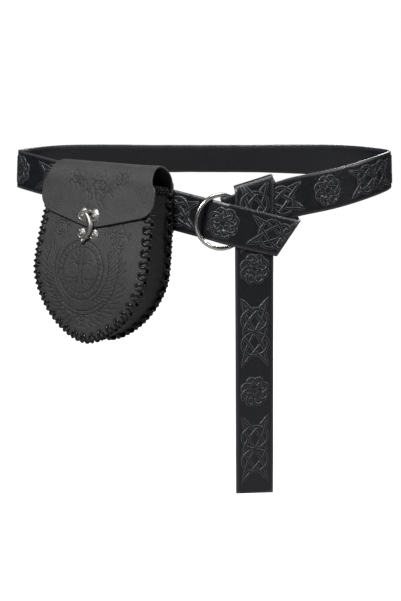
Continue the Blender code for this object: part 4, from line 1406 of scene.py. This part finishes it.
def lace_run(front, looks):
    """One seam's lacing: crossed loops from holes in the panel to holes in the gusset."""
    line, inward, spots, centres = lace_places(looks)
    rise = 1.0 if front else 0.45
    reach = 1.0 if front else 0.2
    # columns: share of lean along the seam, inset, level out of the panel's face
    loop = ((0.06, 0.0062, -0.0014), (0.10, 0.0056, 0.0006 * rise), (0.19, 0.0042, 0.0019 * rise),
            (0.24, 0.0021, 0.0019 * rise), (0.25, 0.0000, 0.0009 * rise),
            (0.24, -0.0022 * reach, -0.0012), (0.28, -0.0022 * reach, -0.0034),
            (0.38, 0.0002, -0.0054), (0.44, 0.0028, -0.0068))
    thinner = (0.9, 1, 1, 1, 1, 1, 1, 0.95, 0.9)
    parts = []
    for centre in centres:
        x, drop = line[place_at(centre, spots)]
        if drop < LACE_TOP_MARGIN or (front and drop < flap_edge_drop(x) + LACE_FLAP_MARGIN):
            continue
        for lean in (-1, 1):
            points = []
            for along, inset, level in loop:
                j = place_at(centre + lean * along * looks.lace_pitch, spots)
                place = line[j] + inward[j] * inset
                out = -(PANEL_THICKNESS / 2 + level)
                if front:
                    out = front_depth(*line[j]) + PANEL_THICKNESS / 2 + level
                points.append((place[0], -place[1], out))
            curve = smooth_curve(placed(points).tolist(), 2)
            radii = [looks.lace_radius * thinner[min(n // 2, 8)] for n in range(len(curve))]
            parts.append(tube(curve, radii, sides=8))
    return parts


def mouth_loops(looks):
    """Short loops over the gusset's upper edge at both ends of the mouth."""
    parts = []
    width = half_width(0) - GUSSET_INSET - GUSSET_THICKNESS / 2
    deep = front_depth(width, 0)
    count = 5
    for side in (-1, 1):
        for i in range(count):
            middle = deep * (0.16 + 0.68 * i / (count - 1))
            for lean in (-1, 1):
                points = []
                # columns: share out of the gusset, distance below the edge, share of lean
                for out, below, along in ((1, 6.0, 0.2), (1.05, 4.0, 0.8), (1.0, 1.0, 1.1),
                                          (0, -1.1, 1.2), (-1, 1.0, 1.1), (-1, 4.5, 0.5)):
                    gap = GUSSET_THICKNESS / 2 + looks.lace_radius * 0.75
                    points.append((side * (width + out * gap), -below / 1000,
                                   middle + lean * along * MOUTH_LOOP_LEAN))
                curve = smooth_curve(placed(points).tolist(), 2)
                parts.append(tube(curve, looks.lace_radius * 0.75, sides=8))
    return parts


def make_lacing(looks):
    for name, parts in (("mouth_lacing", mouth_loops(looks)), ("front_lacing", lace_run(True, looks)),
                        ("back_lacing", lace_run(False, looks))):
        add_piece(name, merge(parts), shared("lace leather"), BODY, fix=False)


def plate_back(face, lobe, spread, drop, height_scale):
    """The lowest level at which a flat plate clears the crowned leather under it."""
    highest = 0
    for x in (0, spread, spread + lobe):
        for y in (-lobe * height_scale, 0, lobe * height_scale):
            highest = max(highest, face(x, drop + y))
    return highest + MOUNT_GAP


def clasp_levels():
    upper = plate_back(flap_face, UPPER_LOBE_RADIUS, UPPER_LOBE_SPREAD, AXIS_DROP, 0.9)
    axis = upper + PLATE_THICKNESS + AXIS_LIFT - BARREL_RADIUS / 2

    def front_face(across, drop):
        return front_depth(across, drop) + PANEL_THICKNESS / 2

    lower = plate_back(front_face, LOWER_LOBE_RADIUS, LOWER_LOBE_SPREAD, STAPLE_DROP, 0.9)
    return upper, axis, lower


def local_tube(points, radii, **more):
    """A round bar through points given in millimetres from the clasp's middle line."""
    moved = [(CLASP_X + x / 1000, -drop / 1000, out) for x, drop, out in points]
    if hasattr(radii, "__len__"):
        radii = [value / 1000 for value in radii]
    else:
        radii = radii / 1000
    return tube(placed(moved).tolist(), radii, **more)


def blob(x, drop, out, radius, wide=1.0, tall=1.0, deep=1.0):
    """A rounded lump, in millimetres from the clasp's middle line; out is in metres."""
    bm = bmesh.new()
    bmesh.ops.create_uvsphere(bm, u_segments=20, v_segments=12, radius=radius / 1000)
    size = Matrix.Diagonal((wide, tall, deep, 1))
    spot = Matrix.Translation((CLASP_X + x / 1000, -drop / 1000, out))
    bmesh.ops.transform(bm, verts=bm.verts, matrix=POUCH @ spot @ size)
    return bm


def scroll(x, drop, out, radius, first, sweep, thick=1.1, lift=0.0012):
    """A cast curl that winds in and rises towards its eye."""
    points = []
    radii = []
    count = 26
    for i in range(count + 1):
        share = i / count
        turn = math.radians(first + sweep * share)
        reach = radius * (1 - 0.62 * share)
        points.append((x + reach * math.cos(turn), drop - reach * math.sin(turn),
                       out + lift * share))
        radii.append(thick * (1 - 0.25 * share))
    return [local_tube(points, radii), blob(x, drop, out + lift, radius * 0.36)]


def upper_plate(upper, axis, drop):
    """Two scrolls with lobes, the hinge's posts and pin, and a stem with two leaves."""
    level = upper + 0.0011
    parts = []
    for side in (-1, 1):
        x = side * UPPER_CURL_X
        parts += scroll(x, drop + 4.3, level + 0.0006, 4.8, 90 - side * 70, side * -400,
                        1.15, 0.0008)
        parts.append(blob(x, drop + 3.4, level - 0.0001, 6.5, 0.95, 1.15, 0.34))
        for turn, reach in ((28, 4.4), (-32, 4.5)):
            spot = polar(x, drop + 4.3, reach, math.radians(turn), side)
            parts.append(blob(*spot, level + 0.0004, 1.9, 1, 1, 0.7))
        post = [(side * 3.3, drop, upper + 0.0012), (side * 3.3, drop, axis + 0.0014)]
        parts.append(local_tube(post, [1.5, 0.95]))
    parts.append(local_tube([(-4.0, drop, axis), (4.0, drop, axis)], 0.8, sides=12))
    parts.append(blob(0, drop, upper + 0.0010, 4.2, 1.5, 0.6, 0.22))
    parts.append(blob(-6.0, drop + 6.5, upper + 0.0010, 4.2, 0.9, 1.4, 0.42))
    for x in (-3.0, -0.6):
        leaf = [(x, drop + 3.0, upper + 0.0012), (x - 0.2, drop + 8, upper + 0.0017),
                (x + 0.5, drop + 13, upper + 0.0013)]
        parts.append(local_tube(leaf, [1.0, 1.1, 0.7]))
    return parts


def lower_plate(lower, axis, hold):
    """Two scrolls with lobes and the staple that the hook holds."""
    level = lower + 0.0011
    middle = STAPLE_X * 0.4
    parts = []
    for side in (-1, 1):
        x = middle + side * LOWER_CURL_X
        parts += scroll(x, hold, level + 0.0005, 4.6, 90 + side * 40, side * 430, 1.15, 0.0009)
        parts.append(blob(x, hold, level - 0.0002, 5.7, 0.95, 1.08, 0.30))
        for turn, reach in ((48, 3.9), (-12, 4.2), (-62, 4.0)):
            spot = polar(x, hold, reach, math.radians(turn), side)
            parts.append(blob(*spot, level + 0.0003, 1.5, 1, 1, 0.7))
    bar = axis - 0.00145 - 0.0003 - 0.0011
    root = lower + 0.0009
    # columns: share of half width, share of height
    shape = ((-1, 0), (-1, 0.55), (-0.8, 0.9), (-0.45, 1), (0.45, 1), (0.8, 0.9), (1, 0.55), (1, 0))
    staple = [(STAPLE_X + x * 5.2, hold, root + (bar - root) * rise) for x, rise in shape]
    parts.append(local_tube(staple, 1.1, sides=12, square=POUCH.to_3x3() @ Vector((0, 1, 0))))
    parts.append(blob(middle, hold, lower + 0.0008, 5.2, 1.1, 0.42, 0.2))
    return parts


def hook_arm(axis, drop, hold):
    """The barrel, the bowed arm that thickens in its middle, its round end and the nib."""
    parts = [local_tube([(-2.2, drop, axis), (2.2, drop, axis)], 1.9, sides=20)]
    reach = HOOK_REACH * 1000
    arm = []
    radii = []
    count = 22
    for i in range(count + 1):
        share = i / count
        bow = 7.4 * math.sin(math.pi * share) + 0.6 * share - 2.2
        arm.append((bow, drop + reach * share, axis + 0.0002 * math.sin(math.pi * share)))
        radii.append(1.8 + 1.2 * math.sin(math.pi * min(share * 1.1, 1)))
    parts.append(local_tube(arm, radii, sides=14, flat=0.8,
                            square=POUCH.to_3x3() @ Vector((0, 0, 1))))
    parts.append(blob(-2.2, drop + reach + 0.2, axis, 2.25))
    parts.append(blob(-0.4, drop + reach - 1.2, axis, 1.5, 1.2, 0.8, 0.9))
    nib = [(STAPLE_X, hold + 3.2, axis), (STAPLE_X, hold + 3.2, axis - 0.0026)]
    parts.append(local_tube(nib, [1.1, 0.7]))
    parts.append(blob(0.6, drop + 3.6, axis + 0.0002, 1.9, 1, 0.7, 0.8))
    return parts


def make_clasp():
    upper, axis, lower = clasp_levels()
    drop = AXIS_DROP * 1000
    hold = STAPLE_DROP * 1000
    silver = shared("aged silver")
    add_piece("clasp_upper_scrolls", merge(upper_plate(upper, axis, drop)), silver, BODY,
              ["clasp_upper_plate"])
    add_piece("clasp_lower_scrolls", merge(lower_plate(lower, axis, hold)), silver, BODY,
              ["clasp_lower_plate"])
    add_piece("clasp_hook_arm", merge(hook_arm(axis, drop, hold)), silver, HOOK_BODY,
              ["clasp_hook"])


def make_stage(looks):
    scene = bpy.context.scene
    pale, tree, shader = new_material("pale floor")
    rays = add_node(tree, "LightPath")
    feed(tree, shader, {"Base Color": FLOOR_COLOUR, "Roughness": 1, "Emission Color": WHITE,
                        "Emission Strength": rays.outputs["Is Camera Ray"]})
    bm = bmesh.new()
    bmesh.ops.create_grid(bm, x_segments=1, y_segments=1, size=FLOOR_HALF)
    bmesh.ops.translate(bm, verts=bm.verts, vec=(0, 0, looks.floor_height))
    link_mesh("floor", bm, pale)

    world = bpy.data.worlds.new("studio")
    scene.world = world
    world.use_nodes = True
    tree = world.node_tree
    rays = add_node(tree, "LightPath")
    level = add_node(tree, "MapRange", {"Value": rays.outputs["Is Camera Ray"],
                                        "To Min": looks.sky, "To Max": 1})
    feed(tree, tree.nodes["Background"], {"Color": WHITE, "Strength": level.outputs["Result"]})
    # columns: name, place, aimed at, size, power
    for name, place, aim, size, power in (
            ("key", (-0.62, -1.2, 1.0), (0, -0.1, -0.08), 0.3, looks.key),
            ("fill", (1.3, -0.6, 0.6), (0.05, -0.1, -0.1), 0.25, looks.fill),
            ("back", (0.5, 1.5, 0.7), (0, 0, -0.05), 0.6, looks.back),
            ("top", (0.1, -0.1, 1.5), (0, -0.05, -0.05), 0.8, looks.top)):
        data = bpy.data.lights.new(name, "AREA")
        data.shape = "DISK"
        data.size = size
        data.energy = power
        lamp = bpy.data.objects.new(name, data)
        lamp.location = place
        direction = Vector(place) - Vector(aim)
        lamp.rotation_euler = direction.to_track_quat("Z", "Y").to_euler()
        scene.collection.objects.link(lamp)

    data = bpy.data.cameras.new("photo camera")
    data.sensor_fit = "HORIZONTAL"
    data.sensor_width = SENSOR_WIDTH
    data.lens = SENSOR_WIDTH * FOCAL_SHARE
    data.clip_end = 20
    camera = bpy.data.objects.new("photo camera", data)
    camera.location = CAMERA_PLACE
    camera.rotation_euler = (math.pi / 2 + CAMERA_PITCH, 0, 0)
    scene.collection.objects.link(camera)
    scene.camera = camera
    scene.view_settings.view_transform = "Standard"


def length_setting(name, description, default, **limits):
    return bpy.props.FloatProperty(name=name, description=description, default=default,
                                   unit="LENGTH", subtype="DISTANCE", **limits)


def share_setting(name, description, default):
    return bpy.props.FloatProperty(name=name, description=description, default=default,
                                   min=0, max=1, subtype="FACTOR")


def power_setting(name, description, default):
    return bpy.props.FloatProperty(name=name, description=description, default=default, min=0)


class PouchLooks(bpy.types.PropertyGroup):
    ribbon_width: length_setting(
        "Ribbon width", "Width of the strap's pressed ribbons", 0.0029, min=0.001, max=0.005)
    ribbon_height: length_setting(
        "Ribbon height", "How far the ribbons stand out of the strap", 0.001, min=0, max=0.002)
    cut_depth: length_setting(
        "Cut depth", "Depth of the lines cut into the pouch", 0.0007, min=0, max=0.0015)
    lace_pitch: length_setting(
        "Lace pitch", "Distance between two holes of the lacing", 0.0112, min=0.005, max=0.03)
    lace_radius: length_setting(
        "Lace radius", "Radius of the lacing cord", 0.00165, min=0.0005, max=0.003)
    strap_roughness: share_setting("Strap roughness", "Roughness of the strap's leather", 0.29)
    pouch_roughness: share_setting("Pouch roughness", "Roughness of the pouch's leather", 0.56)
    grain: share_setting("Grain", "Strength of the leather grain", 0.85)
    floor_height: length_setting("Floor height", "Height of the studio floor", -0.36)
    sky: power_setting("Sky", "Strength of the soft light from all sides", 0.05)
    key: power_setting("Key light", "Power of the upper left light in watts", 38)
    fill: power_setting("Fill light", "Power of the right light in watts", 9)
    back: power_setting("Back light", "Power of the light behind in watts", 12)
    top: power_setting("Top light", "Power of the overhead light in watts", 14)


class POUCH_OT_strap(bpy.types.Operator):
    """Builds the worn strap with its pressed knotwork"""

    bl_idname = "pouch.strap"
    bl_label = "Strap"

    def execute(self, context):
        make_strap(context.scene.pouch_looks)
        return {"FINISHED"}


class POUCH_OT_ring(bpy.types.Operator):
    """Builds the ring that the strap goes through"""

    bl_idname = "pouch.ring"
    bl_label = "Ring"

    def execute(self, context):
        make_ring()
        return {"FINISHED"}


class POUCH_OT_panels(bpy.types.Operator):
    """Builds the pouch's leather panels and its gusset, and gives its belt loops the pouch leather"""

    bl_idname = "pouch.panels"
    bl_label = "Panels"

    def execute(self, context):
        make_panels(context.scene.pouch_looks)
        return {"FINISHED"}


class POUCH_OT_lacing(bpy.types.Operator):
    """Laces the panels to the gusset"""

    bl_idname = "pouch.lacing"
    bl_label = "Lacing"

    def execute(self, context):
        make_lacing(context.scene.pouch_looks)
        return {"FINISHED"}


class POUCH_OT_clasp(bpy.types.Operator):
    """Builds the cast hook clasp"""

    bl_idname = "pouch.clasp"
    bl_label = "Clasp"

    def execute(self, context):
        make_clasp()
        return {"FINISHED"}


class POUCH_OT_stage(bpy.types.Operator):
    """Sets up the floor, the lights and the camera"""

    bl_idname = "pouch.stage"
    bl_label = "Stage"

    def execute(self, context):
        make_stage(context.scene.pouch_looks)
        return {"FINISHED"}


OPERATORS = (POUCH_OT_strap, POUCH_OT_ring, POUCH_OT_panels, POUCH_OT_lacing, POUCH_OT_clasp,
             POUCH_OT_stage)


class POUCH_PT_panel(bpy.types.Panel):
    """Lists the pieces"""

    bl_idname = "POUCH_PT_panel"
    bl_label = "Belt pouch"
    bl_space_type = "VIEW_3D"
    bl_region_type = "UI"
    bl_category = "Belt pouch"

    def draw(self, context):
        looks = context.scene.pouch_looks
        for item in OPERATORS:
            self.layout.operator(item.bl_idname)
        for name in looks.bl_rna.properties.keys():
            if name not in ("rna_type", "name"):
                self.layout.prop(looks, name)


CLASSES = (PouchLooks, *OPERATORS, POUCH_PT_panel)


def register():
    for item in CLASSES:
        bpy.utils.register_class(item)
    bpy.types.Scene.pouch_looks = bpy.props.PointerProperty(type=PouchLooks)


def unregister():
    del bpy.types.Scene.pouch_looks
    for item in reversed(CLASSES):
        bpy.utils.unregister_class(item)


def main():
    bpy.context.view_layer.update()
    register()
    bpy.ops.pouch.strap()
    bpy.ops.pouch.ring()
    bpy.ops.pouch.panels()
    bpy.ops.pouch.lacing()
    bpy.ops.pouch.clasp()
    bpy.ops.pouch.stage()
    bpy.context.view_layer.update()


if __name__ == "__main__":
    main()
